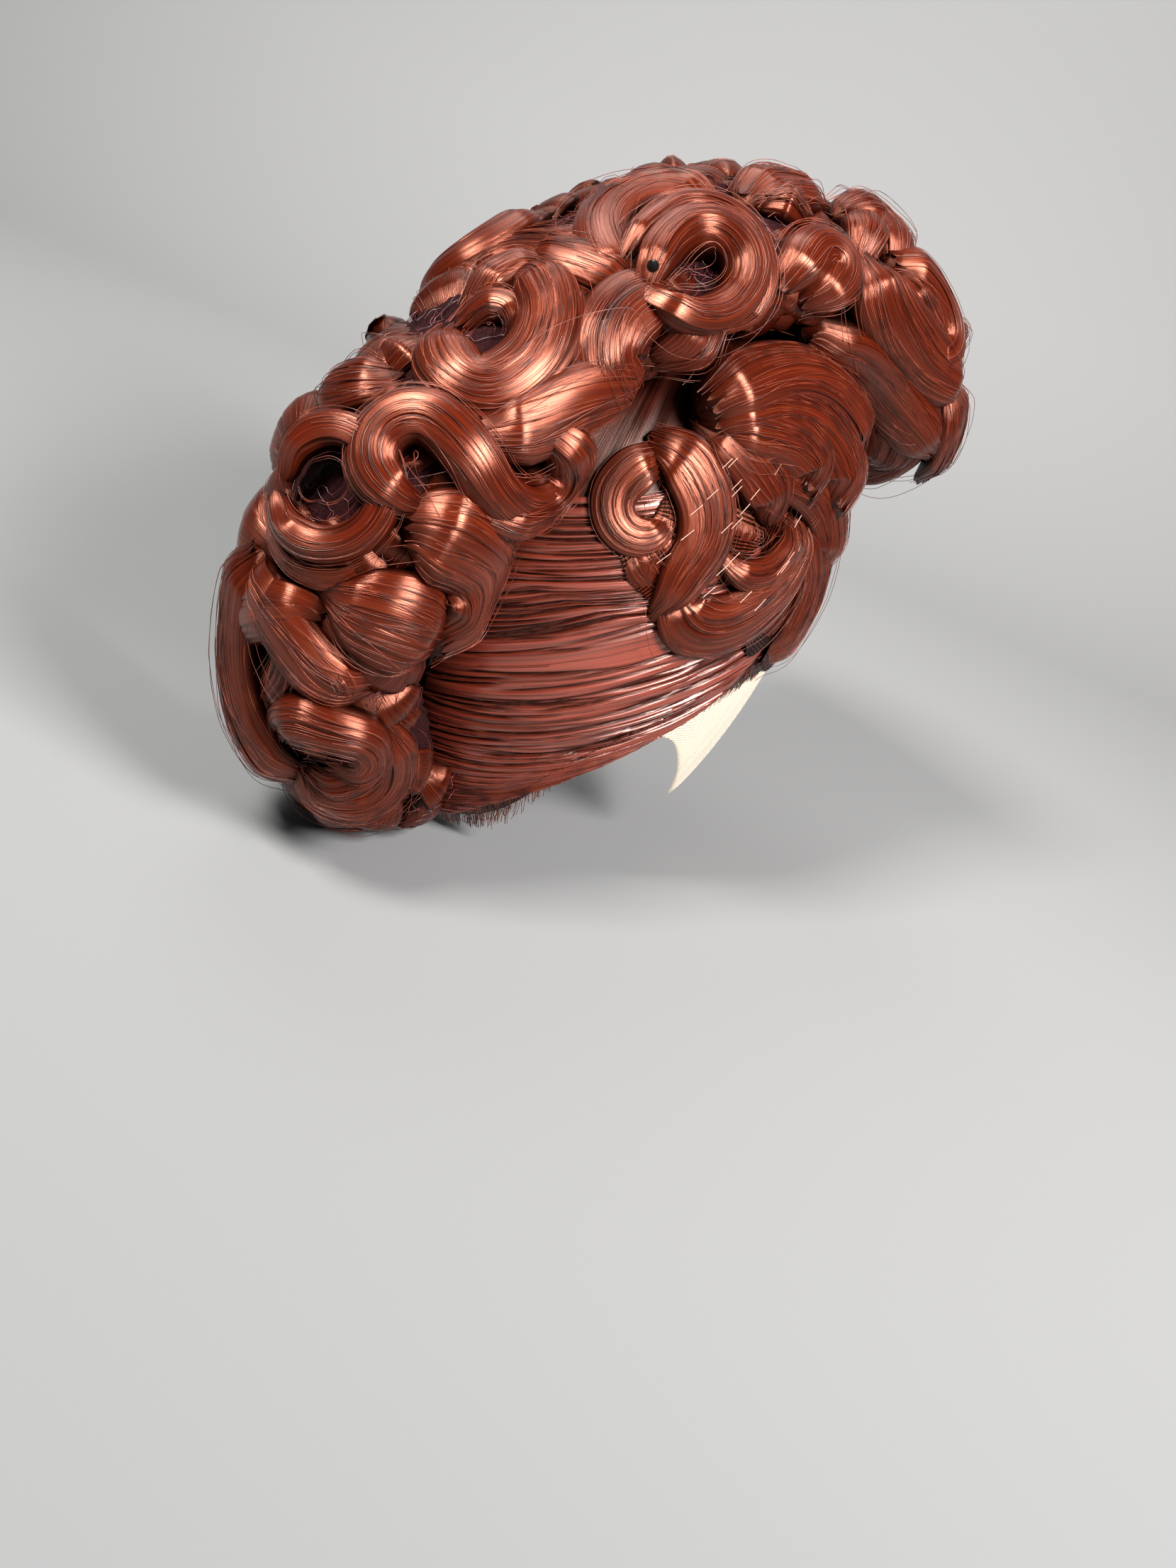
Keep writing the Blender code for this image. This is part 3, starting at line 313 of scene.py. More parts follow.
def evenPath(path, spacing):  # path resampled at equal spacing: points, outward, along, side, length so far
    points = smoothPath(np.array([p for p, _ in path]), 6)
    outs = np.array([o for _, o in path])
    gone = np.concatenate([[0], np.cumsum(np.linalg.norm(np.diff(points, axis=0), axis=1))])
    count = max(8, int(gone[-1] / spacing) + 1)
    at = np.linspace(0, gone[-1], count)
    points = np.stack([np.interp(at, gone, points[:, k]) for k in range(3)], axis=1)
    outs = np.stack([np.interp(at, gone, outs[:, k]) for k in range(3)], axis=1)
    along = np.gradient(points, axis=0)
    along /= np.linalg.norm(along, axis=1)[:, None]
    outs -= along * np.sum(outs * along, axis=1)[:, None]
    outs /= np.linalg.norm(outs, axis=1)[:, None]
    return points, outs, along, np.cross(outs, along), at


def ease(t):
    t = np.clip(t, 0, 1)
    return t * t * (3 - 2 * t)


# combed relief of a lock: grooves where the comb parted it, with low ridges between them
relief = {"grooveEvery": 0.0052, "grooveDepth": (0.0002, 0.0008), "grooveWidth": (0.0004, 0.0009),
          "drift": 0.035, "driftWave": (0.03, 0.08), "fade": 0.012,
          "ridge": 0.00007, "ridgeEvery": 0.0026, "ridgeWave": 0.05,
          "ridges": ((1.0, 0, 2.0, 0), (0.7, 3, -1.3, 2))}  # share, how many more, swing, phase
# how finely a lock is made: seen locks, and the hair under them, whose colour is dimmed further as painted shade
fine = {"columns": 100, "spacing": 0.0014, "tresses": 1.0, "guides": 1.0, "skip": 2, "shadeFactor": 1.0,
        "sink": 0.0060, "curve": 3.0}
coarse = {"columns": 36, "spacing": 0.0031, "tresses": 0.0, "guides": 0.12, "skip": 1, "shadeFactor": 0.65,
          "sink": 0.0090, "curve": 10.0}


def combedRelief(rng, round_, along, columns):
    s = np.arange(columns) / columns
    high = np.zeros((len(along), columns))
    for k in range(max(4, int(round_ / relief["grooveEvery"]))):
        depth, width = rng.uniform(*relief["grooveDepth"]), rng.uniform(*relief["grooveWidth"]) / round_
        wave, phase = rng.uniform(*relief["driftWave"]), rng.uniform(0, fullTurn)
        place = rng.uniform() + relief["drift"] * np.sin(along / wave + phase)
        begin, end = np.sort(rng.uniform(-0.4, 1.4, 2)) * along[-1]
        fade = ease((along - begin) / relief["fade"] + 0.5) * ease((end - along) / relief["fade"] + 0.5)
        off = (s[None, :] - place[:, None] + 0.5) % 1.0 - 0.5
        high -= depth * np.exp(-(off / width) ** 2) * fade[:, None]
    count = round(round_ / relief["ridgeEvery"])
    drift = np.sin(along / relief["ridgeWave"] + rng.uniform(0, fullTurn))
    for share, extra, swing, phase in relief["ridges"]:
        ridges = np.cos(2 * np.pi * (count + extra) * s[None, :] + swing * drift[:, None] + phase)
        high += share * relief["ridge"] * ridges
    return high


# ends tucked under, the tresses laid over a lock, its loose strands, and its painted shade: how much darker its
# sides, grooves and tucked ends are painted
tuck = {"length": 0.015, "round": 0.006, "narrow": 0.45, "narrowOver": 1.3, "thinnest": 0.004, "pole": 0.0004}
tress = {"each": 0.0085, "width": (0.0030, 0.0085), "thick": 0.0011, "above": 0.00025, "columns": 18,
         "reach": 0.8, "sway": 0.06, "swayEvery": 0.02, "edge": 0.86, "lean": 0.8}
bundle = {"square": 2.2, "round": 0.82, "wobble": 0.0005, "wobbleEvery": 0.013, "guideEvery": 0.0006,
          "guideLift": (0.0001, 0.0009), "guideShortest": 0.011, "strays": 7, "strayLift": 0.0035}
fuller = {"crest": 1.38, "head": 1.30}  # a lock in the hair is fuller than its core in the part
paintedLockShade = {"side": 0.25, "span": 0.85, "groove": 0.0009, "least": 0.1, "end": 0.35, "endLength": 0.009}


def emptyParts():
    return {"points": [], "faces": [], "uv": [], "shade": [], "count": 0}


def roundLength(halfs, depths):  # length round a lock's section, at its fullest
    return 2 * (2 * halfs.max() + depths.max()) * bundle["round"]


def addTube(parts, points, outs, alongs, sides, run, halfs, depths, columns, shift, high=None, shadeFactor=1.0,
            curve=0.0):
    turn = 2 * np.pi * np.arange(columns) / columns
    power = 2 / bundle["square"]
    flatX = np.sign(np.cos(turn)) * np.abs(np.cos(turn)) ** power
    flatY = np.sign(np.sin(turn)) * np.abs(np.sin(turn)) ** power
    fromEnd = np.minimum(run, run[-1] - run)
    t = np.clip(fromEnd / tuck["round"], 0, 1)
    close = np.sqrt(np.clip(1 - (1 - t) ** 2, 0.02, 1))
    high = np.zeros((len(run), columns)) if high is None else high
    x = (halfs * close)[:, None] * flatX[None, :] + high * np.cos(turn)[None, :]
    y = (depths / 2 * close)[:, None] * flatY[None, :] + high * np.sin(turn)[None, :]
    y = y - curve * x ** 2
    centre = points - outs * (depths / 2)[:, None]
    grid = centre[:, None, :] + sides[:, None, :] * x[:, :, None] + outs[:, None, :] * y[:, :, None]
    rows = len(run)
    ends = np.stack([centre[0] - alongs[0] * tuck["pole"], centre[-1] + alongs[-1] * tuck["pole"]])
    parts["faces"] += ringFaces(rows, columns, parts["count"])
    parts["uv"] += ringUv(rows, columns, roundLength(halfs, depths), run, shift)
    parts["points"].append(np.concatenate([grid.reshape(-1, 3), ends]))
    # painted shade: the lock's sides and underside, its grooves and its tucked ends get a lower shade value, which
    # darkens their colour
    lit = ease((flatY + paintedLockShade["side"]) / paintedLockShade["span"])[None, :]
    lit = lit * np.clip(1 + high / paintedLockShade["groove"], paintedLockShade["least"], 1)
    lit = lit * (paintedLockShade["end"] + (1 - paintedLockShade["end"]) * ease(fromEnd / paintedLockShade["endLength"]))[:, None]
    parts["shade"].append(np.concatenate([lit.ravel(), lit[0, :1], lit[-1, :1]]) * shadeFactor)
    parts["count"] += rows * columns + 2


def clearOfHead(points, lift):  # points pushed out of the head's form
    d = points - headCentre
    height = np.where(d[:, 2] > 0, head["above"], head["below"])
    sizes = np.stack([np.full(len(d), head["halfWidth"]), np.full(len(d), head["halfLength"]), height], axis=1)
    share = np.linalg.norm(d / (sizes + lift), axis=1)
    return headCentre + d / np.minimum(share, 1)[:, None]


def addLock(parts, guides, rng, path, widths, belly, depths, full, detail):
    points, outs, alongs, sides, run = evenPath(path, detail["spacing"])
    t = run / run[-1]
    halfs = (widths[0] + (widths[1] - widths[0]) * t + belly * np.sin(np.pi * t)) / 2 * lockSize["width"] * full
    deep = depths[0] + (depths[1] - depths[0]) * t
    fromEnd = np.minimum(run, run[-1] - run)
    halfs = halfs * (1 - tuck["narrow"] * (1 - ease(fromEnd / tuck["length"] / tuck["narrowOver"])))
    sink = detail["sink"] * (1 - ease(fromEnd / tuck["length"]))
    wobble = bundle["wobble"] * np.sin(run / bundle["wobbleEvery"] + rng.uniform(0, fullTurn))
    points = points - outs * sink[:, None] + sides * wobble[:, None]
    deep = np.maximum(deep - sink, tuck["thinnest"])
    high = combedRelief(rng, roundLength(halfs, deep), run, detail["columns"])
    shift = rng.uniform(0, 3, 2)
    addTube(parts, points, outs, alongs, sides, run, halfs, deep, detail["columns"], shift, high, detail["shadeFactor"],
            detail["curve"])
    crown = bundle["square"]

    def onFace(share, above):  # line on the outer face at a share of the half width
        up = deep / 2 * np.clip(1 - np.abs(share) ** crown, 0.05, 1) ** (1 / crown)
        up = up - detail["curve"] * (halfs * share) ** 2
        return points - outs * (deep / 2)[:, None] + sides * (halfs * share)[:, None] + outs * (up + above)[:, None]

    for _ in range(int(2 * halfs.max() / tress["each"] * detail["tresses"])):
        first, last = rng.uniform(-tress["reach"], tress["reach"], 2)
        sway = tress["sway"] * np.sin(run / tress["swayEvery"] + rng.uniform(0, fullTurn))
        share = np.clip(first + 0.5 * (last - first) * ease(t) + sway, -tress["edge"], tress["edge"])
        line = onFace(share, tress["above"])
        tilt = np.sign(share) * np.abs(share) ** (crown - 1) * tress["lean"]
        lean = unitRows(outs + sides * tilt[:, None])
        direction = unitRows(np.gradient(line, axis=0))
        lean = unitRows(lean - direction * np.sum(lean * direction, axis=1)[:, None])
        half = rng.uniform(*tress["width"]) / 2 * (0.75 + 0.25 * np.sin(np.pi * t + rng.uniform(-0.5, 0.5)))
        thick = np.full(len(run), tress["thick"])
        addTube(parts, line, lean, direction, np.cross(lean, direction), run, half, thick,
                tress["columns"], rng.uniform(0, 3, 2))
    for _ in range(int(2 * halfs.max() / bundle["guideEvery"] * detail["guides"])):
        first, last = rng.uniform(-0.98, 0.98, 2)
        share = first + 0.25 * (last - first) * t
        begin, end = sorted(rng.choice(len(run), 2))
        if (end - begin) * detail["spacing"] > bundle["guideShortest"]:
            guides.append(onFace(share, rng.uniform(*bundle["guideLift"]))[begin:end:detail["skip"]])
    for _ in range(round(bundle["strays"] * detail["tresses"])):  # strays cross to the locks beside it
        share = rng.uniform(-1.6, 1.6) + rng.uniform(-1.2, 1.2) * t
        lifted = np.sin(np.pi * t) * rng.uniform(0.2, 1.0) * bundle["strayLift"]
        guides.append(onFace(share, lifted)[::detail["skip"]])


def unitRows(rows):
    return rows / np.linalg.norm(rows, axis=1)[:, None]


def mirrorParts(parts):  # the same parts on the other side of the median plane
    points = np.concatenate(parts["points"]) * np.array([-1.0, 1.0, 1.0])
    faces, uv, at = [], [], 0
    for face in parts["faces"]:
        faces.append(face[::-1])
        uv += parts["uv"][at:at + len(face)][::-1]
        at += len(face)
    return {"points": [points], "faces": faces, "uv": uv, "shade": parts["shade"], "count": parts["count"]}


def partsToPiece(name, parts, material, lift=None):
    points = np.concatenate(parts["points"])
    if lift is not None:
        points = clearOfHead(points, lift)
    shade = np.concatenate(parts["shade"]) if parts["shade"] else None
    return makeMesh(name, points, parts["faces"], parts["uv"], material, shade)


def fitPiece(piece, node=None):  # a piece of the wig stands for a node, whose part is then hidden; every piece rides on the root
    if node:
        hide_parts(node)
    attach(piece, "root")


# materials
def hexToLinear(code):
    channels = [int(code[k:k + 2], 16) / 255 for k in (1, 3, 5)]
    return [c / 12.92 if c <= 0.04045 else ((c + 0.055) / 1.055) ** 2.4 for c in channels] + [1.0]


def addNode(tree, kind, settings=None, links=None):  # settings: attributes or values; links: input from output
    node = tree.nodes.new(kind)
    for name, value in (settings or {}).items():
        if hasattr(node, name):
            setattr(node, name, value)
        else:
            node.inputs[name].default_value = value
    for name, output in (links or {}).items():
        tree.links.new(output, node.inputs[name])
    return node


def newMaterial(name):
    material = bpy.data.materials.new(name)
    material.use_nodes = True
    material.node_tree.nodes.clear()
    return material, material.node_tree


def addSurface(tree, settings, links=None):  # the shader and the output that every material ends in
    shader = addNode(tree, "ShaderNodeBsdfPrincipled", settings, links)
    addNode(tree, "ShaderNodeOutputMaterial", None, {"Surface": shader.outputs["BSDF"]})


def setRamp(ramp, stops):
    while len(ramp.elements) > 1:
        ramp.elements.remove(ramp.elements[-1])
    ramp.elements[0].position, ramp.elements[0].color = stops[0][0], hexToLinear(stops[0][1])
    for position, code in stops[1:]:
        ramp.elements.new(position).color = hexToLinear(code)


# heat-set modacrylic hair: a smooth round fibre, so a lock shines in a sharp line across the strands
hairLook = {
    "dark": "#1d0502", "base": "#3f1005", "light": "#5a200c", "sheen": "#ffa78b", "gloss": 0.92, "coat": 0.0,
    "strand": 0.00030, "tress": 0.0016, "length": 0.060, "roughness": (0.22, 0.34),
}


def hairMaterial(name, look, bump=0.35):
    material, tree = newMaterial(name)
    uv = addNode(tree, "ShaderNodeUVMap", {"uv_map": "strand"})
    fine = addNode(tree, "ShaderNodeMapping", {"Scale": (1 / look["strand"], 1 / look["length"], 1)},
                   {"Vector": uv.outputs["UV"]})
    broad = addNode(tree, "ShaderNodeMapping", {"Scale": (1 / look["tress"], 1 / look["length"] / 1.5, 1)},
                    {"Vector": uv.outputs["UV"]})
    strands = addNode(tree, "ShaderNodeTexNoise", {"noise_dimensions": "2D", "Scale": 1.0, "Detail": 3.0,
                      "Roughness": 0.6}, {"Vector": fine.outputs["Vector"]})
    tresses = addNode(tree, "ShaderNodeTexNoise", {"noise_dimensions": "2D", "Scale": 1.0, "Detail": 2.0},
                      {"Vector": broad.outputs["Vector"]})
    mixed = addNode(tree, "ShaderNodeMix", {"data_type": "FLOAT", "Factor": 0.45},
                    {"A": strands.outputs["Fac"], "B": tresses.outputs["Fac"]})
    ramp = addNode(tree, "ShaderNodeValToRGB", None, {"Fac": mixed.outputs["Result"]})
    setRamp(ramp.color_ramp, [(0.30, look["dark"]), (0.50, look["base"]), (0.72, look["light"])])
    # painted shade: the shade attribute darkens the base colour and cuts the gloss and the coat in the hollows
    # between and under the locks
    shade = addNode(tree, "ShaderNodeAttribute", {"attribute_name": "shade"})
    deep = addNode(tree, "ShaderNodeMapRange", {"To Min": 0.05, "To Max": 1.0}, {"Value": shade.outputs["Fac"]})
    gloss = addNode(tree, "ShaderNodeMapRange", {"To Min": 0.08, "To Max": look["gloss"]},
                    {"Value": shade.outputs["Fac"]})
    coat = addNode(tree, "ShaderNodeMapRange", {"To Min": 0.0, "To Max": look["coat"]},
                   {"Value": shade.outputs["Fac"]})
    colour = addNode(tree, "ShaderNodeVectorMath", {"operation": "SCALE"},
                     {0: ramp.outputs["Color"], "Scale": deep.outputs["Result"]})
    rough = addNode(tree, "ShaderNodeMapRange", {"From Min": 0.3, "From Max": 0.7,
                    "To Min": look["roughness"][1], "To Max": look["roughness"][0]},
                    {"Value": mixed.outputs["Result"]})
    lines = addNode(tree, "ShaderNodeBump", {"Strength": bump, "Distance": 0.0004},
                    {"Height": strands.outputs["Fac"]})
    tangent = addNode(tree, "ShaderNodeTangent", {"direction_type": "UV_MAP", "uv_map": "strand"})
    addSurface(tree, {"IOR": 1.55, "Anisotropic": 0.8, "Specular Tint": hexToLinear(look["sheen"]),
                      "Coat Tint": hexToLinear(look["sheen"]), "Coat Roughness": 0.34, "Coat IOR": 1.45},
               {"Base Color": colour.outputs["Vector"], "Roughness": rough.outputs["Result"],
                "Specular IOR Level": gloss.outputs["Result"], "Coat Weight": coat.outputs["Result"],
                "Normal": lines.outputs["Normal"], "Tangent": tangent.outputs["Tangent"]})
    return material


def looseHairMaterial(name, dark, light):  # single fibres: a little light comes through them
    material, tree = newMaterial(name)
    place = addNode(tree, "ShaderNodeTexCoord")
    patches = addNode(tree, "ShaderNodeTexNoise", {"Scale": 140.0, "Detail": 1.0},
                      {"Vector": place.outputs["Object"]})
    ramp = addNode(tree, "ShaderNodeValToRGB", None, {"Fac": patches.outputs["Fac"]})
    setRamp(ramp.color_ramp, [(0.35, dark), (0.65, light)])
    addSurface(tree, {"IOR": 1.55, "Roughness": 0.38}, {"Base Color": ramp.outputs["Color"]})
    return material


def feltMaterial(name, dark, light, scale, bump):  # crimped hair and net matted together: no gloss, rough tufts
    material, tree = newMaterial(name)
    place = addNode(tree, "ShaderNodeTexCoord")
    tufts = addNode(tree, "ShaderNodeTexNoise", {"Scale": scale, "Detail": 6.0, "Roughness": 0.7,
                    "Distortion": 2.5}, {"Vector": place.outputs["Object"]})
    ramp = addNode(tree, "ShaderNodeValToRGB", None, {"Fac": tufts.outputs["Fac"]})
    setRamp(ramp.color_ramp, [(0.35, dark), (0.68, light)])
    lines = addNode(tree, "ShaderNodeBump", {"Strength": bump, "Distance": 0.002}, {"Height": tufts.outputs["Fac"]})
    addSurface(tree, {"IOR": 1.5, "Roughness": 0.8, "Specular IOR Level": 0.1},
               {"Base Color": ramp.outputs["Color"], "Normal": lines.outputs["Normal"]})
    return material


def netMaterial(name, colour, every, hole):  # knotted net: threads of a square mesh, holes see-through
    material, tree = newMaterial(name)
    uv = addNode(tree, "ShaderNodeUVMap", {"uv_map": "strand"})
    cells = addNode(tree, "ShaderNodeMapping", {"Scale": (1 / every, 1 / every, 1)}, {"Vector": uv.outputs["UV"]})
    threads = addNode(tree, "ShaderNodeTexVoronoi", {"voronoi_dimensions": "2D", "feature": "DISTANCE_TO_EDGE",
                      "Scale": 1.0, "Randomness": 0.15}, {"Vector": cells.outputs["Vector"]})
    solid = addNode(tree, "ShaderNodeMapRange", {"From Min": 0.07, "From Max": 0.12, "To Min": 1.0, "To Max": hole},
                    {"Value": threads.outputs["Distance"]})
    addSurface(tree, {"Base Color": hexToLinear(colour), "Roughness": 0.6, "Sheen Weight": 0.3},
               {"Alpha": solid.outputs["Result"]})
    return material


auburnHair = hairMaterial("combed modacrylic hair, auburn", hairLook)
# the side panels' base colours are lighter and pinker than the locks': a painted sheen, on top of the shader's own
# gloss and coat
sideLookWithPaintedSheen = dict(hairLook, strand=0.00055, tress=0.0030, length=0.090, roughness=(0.26, 0.40),
                dark="#2e0a05", base="#692a1a", light="#8c4535", sheen="#ffe0d6", gloss=1.0, coat=1.0)
gelledHair = hairMaterial("gelled combed modacrylic hair, auburn", sideLookWithPaintedSheen)
looseHair = looseHairMaterial("loose modacrylic fibres, auburn", "#33100a", "#74331f")
darkHair = looseHairMaterial("tangled crimped fibres, burgundy", "#2c0c10", "#5e232b")
padFelt = feltMaterial("matted crimped hair, burgundy", "#1a0708", "#3a161a", 420.0, 0.9)
capNet = netMaterial("knotted cap net, brown", "#4a2a20", 0.0012, 0.35)
laceNet = netMaterial("sheer lace, cream", "#e9dcc2", 0.0013, 0.12)
print("materials made")

# locks
pieces, guides, paths = {}, {"crest": [], "head": []}, {}
rng = np.random.default_rng(41)
for name, base, at, heading, runs, widths, belly, lifts in lockRows:
    path = paths[name] = lockPath(base, at, heading, runs, lifts)
    seat = lockSize["seat"] + lockSize["below"] if base == "crest" else lockSize["onPanel"] - panelOuter
    depths = [lift * lockSize["lift"] + seat for lift in lifts]
    addLock(pieces.setdefault(name, emptyParts()), guides[base], rng, path, widths, belly, depths,
            fuller[base], fine)
for name, at, face, radii, start, sweep, widths, belly, lifts, hug in ringRows:
    path = paths[name] = ringPath(at, face, radii, start, sweep, lifts, hug)
    depths = [lift * lockSize["lift"] + lockSize["seat"] + lockSize["ringBelow"] for lift in lifts]
    addLock(pieces.setdefault(name, emptyParts()), guides["crest"], rng, path, widths, belly, depths, 1.0, fine)
hidden = {}
for name in mirroredLocks:
    left = name.replace("right", "left") if "right" in name else name + "_left"
    hidden[left] = mirrorParts(pieces[name])
leftCrest = ("curl_nape_middle", "curl_crown_drop", "curl_front_upper", "curl_front_end", "curl_nape_diagonal")
for name in leftCrest:  # more locks that the photo doesn't show, repeated from the right side
    fitPiece(partsToPiece(name + "_repeated", mirrorParts(pieces[name]), auburnHair, panelOuter))
for name, parts in {**pieces, **hidden}.items():
    fitPiece(partsToPiece(name + "_hair", parts, auburnHair, panelOuter), node=name)

# under hair: short wide swaths that close the gaps between the locks
under = {"rows": 18, "across": 14, "from": -50, "to": 144, "side": 104, "width": 2.1, "lift": (-0.68, -0.40),
         "edge": 97, "edgeWidth": 1.5, "edgeLift": -0.45, "nape": 40, "napeEdge": 10,
         "left": -25, "leftLift": 0.30, "runs": (1.2, 2.0), "within": (-58, 147, 125), "over": 0.0015,
         "open": ("curl_back_ring", "curl_crown_ring"), "clear": 0.016}
openings = [np.mean([point for point, _ in paths[name]], axis=0) for name in under["open"]]
parts = emptyParts()
rng = np.random.default_rng(17)
for i in range(under["rows"]):
    for j in range(under["across"]):
        u = under["from"] + (under["to"] - under["from"]) * (i + rng.uniform(-0.3, 0.3)) / (under["rows"] - 1)
        v = under["side"] * (2 * (j + rng.uniform(-0.3, 0.3)) / (under["across"] - 1) - 1)
        heading = rng.choice([60, 90, 120, 240, 270]) + rng.uniform(-25, 25)
        bends = [(rng.uniform(*under["runs"]), rng.uniform(-bend, bend)) for bend in (60, 70)]
        lift, width = rng.uniform(*under["lift"]), under["width"]
        if j in (0, under["across"] - 1):  # swaths along the crest's lower edges
            v = math.copysign(under["edge"] + under["napeEdge"] * min(max(-u / under["nape"], 0), 1), v)
            heading, lift, width = rng.uniform(80, 100), under["edgeLift"], under["edgeWidth"]
        elif v < under["left"]:  # the left side, with fewer locks over it
            lift += under["leftLift"]
        path = lockPath("crest", (u, v), heading, bends, (lift, lift))
        u0, v0 = crestAngles(path[-1][0], 0.0)
        clear = min(np.linalg.norm(point - hole) for point, _ in path for hole in openings) > under["clear"]
        nape, brow, beside = under["within"]
        if clear and nape < u0 < brow and abs(v0) < beside:
            depth = (lift + 1.0) * lockSize["lift"]
            addLock(parts, guides["crest"], rng, path, (width, width), 0, (depth, depth), 1.0, coarse)
fitPiece(partsToPiece("under_hair", parts, auburnHair, panelOuter + under["over"]))
print("locks made:", len(pieces) + len(hidden))

# combed sides: strands run from the hairline back to the crest
side = {
    "rows": 420, "columns": 60, "lift": 0.0050, "thick": 0.0022, "grooves": 320, "depth": 0.0021,
    # dark, least, root and crestShadeShare set the painted shade: darker grooves, and darker strand ends next to
    # the crest, where they run in under it
    "past": 0.012, "size": (0.150, 0.110), "dark": 0.0011, "least": 0.08, "root": 0.2, "crestShadeShare": 0.16,
    "strays": 240, "strayLift": 0.0003, "strayShortest": 0.2,
    # share down to up, start bearing, start elevation, end elevation, end bearing, bow
    "strands": (
        (0.0, 22, -41, -44, -6, 0.0), (0.2, 46, -29, -41, 0, -1.5), (0.4, 68, -18, -34, 2, -2.5),
        (0.6, 86, -8, -27, 3, -2.0), (0.8, 97, 6, -18, 5, -0.5), (1.0, 102, 24, -8, 8, 0.0),
        (1.25, 108, 44, 4, 12, 0.0), (1.5, 114, 60, 18, 18, 0.0),
    ),
}
# plain layer under the combed hair, down to the hairline: bearings, elevation at the top, and lifts
# shade, dark and least: the layer is painted dark as shade, darker still in its grooves
sideLayer = {"rows": 120, "columns": 44, "grooves": 40, "depth": 0.0012, "from": -2, "to": 182, "top": 88,
             "above": 0.4, "first": 0.02, "lifts": (0.0036, 0.0022), "size": (0.300, 0.150),
             "shade": 0.14, "dark": 0.0020, "least": 0.02}
combing = {"drift": 0.010, "waves": (2, 6), "reach": (0.06, 0.35), "full": 0.4, "width": (0.0014, 0.0030),
           "deep": (0.3, 1.0), "ridge": 0.00007, "ridges": ((1.0, 7.0, 0), (0.6, 17.0, 1))}


def sideStrand(share, t, lift):
    row = [tableValue(side["strands"], k, share) for k in (1, 2, 3, 4, 5)]
    bearing0, elevation0, elevation1, bearing1, bow = row
    bearing = bearing1 + (bearing0 - bearing1) * t
    elevation = elevation1 + (elevation0 - elevation1) * t ** 1.25 + bow * math.sin(math.pi * t)
    return headPoint(elevation, bearing, lift)


def gridShell(parts, outer, inner, shift, across, along, shade=None):  # closed wall between two grids
    rows, columns = outer.shape[:2]
    first = parts["count"]
    half = rows * columns
    parts["points"].append(np.concatenate([outer.reshape(-1, 3), inner.reshape(-1, 3)]))
    if shade is not None:
        # painted shade: the inner wall is painted half shaded
        parts["shade"].append(np.concatenate([shade.ravel(), np.full(half, 0.5)]))
    us = np.arange(rows) / (rows - 1) * across + shift[0]
    vs = np.arange(columns) / (columns - 1) * along + shift[1]
    for r in range(rows - 1):
        for c in range(columns - 1):
            a = first + r * columns + c
            parts["faces"].append((a, a + 1, a + columns + 1, a + columns))
            parts["uv"] += [(us[r], vs[c]), (us[r], vs[c + 1]), (us[r + 1], vs[c + 1]), (us[r + 1], vs[c])]
            b = a + half
            parts["faces"].append((b, b + columns, b + columns + 1, b + 1))
            parts["uv"] += [(us[r], vs[c]), (us[r + 1], vs[c]), (us[r + 1], vs[c + 1]), (us[r], vs[c + 1])]
    rim = [(r, 0) for r in range(rows)] + [(rows - 1, c) for c in range(1, columns)]
    rim += [(r, columns - 1) for r in range(rows - 2, -1, -1)] + [(0, c) for c in range(columns - 2, 0, -1)]
    for k, (r, c) in enumerate(rim):
        r2, c2 = rim[(k + 1) % len(rim)]
        a, b = first + r * columns + c, first + r2 * columns + c2
        parts["faces"].append((a, b, b + half, a + half))
        parts["uv"] += [(us[r], vs[c]), (us[r2], vs[c2]), (us[r2], vs[c2]), (us[r], vs[c])]
    parts["count"] += 2 * half


def combedGrid(rng, rows, columns, grooves, depth):  # grooves run along the columns
    s, t = np.arange(rows) / rows, np.arange(columns) / columns
    high = np.zeros((rows, columns))
    for _ in range(grooves):
        at = rng.uniform() + combing["drift"] * np.sin(
            t * rng.uniform(*combing["waves"]) + rng.uniform(0, fullTurn))
        middle, reach = rng.uniform(0.0, 1.0), rng.uniform(*combing["reach"])
        fade = 1 - ease((np.abs(t - middle) / reach - combing["full"]) / (1 - combing["full"]))
        width = rng.uniform(*combing["width"])
        groove = rng.uniform(*combing["deep"]) * depth * np.exp(-((s[:, None] - at[None, :]) / width) ** 2)
        high -= groove * fade[None, :]
    wave = sum(share * np.sin(2 * np.pi * s * rows / every + phase)[:, None]
               for share, every, phase in combing["ridges"])
    return high + combing["ridge"] * wave


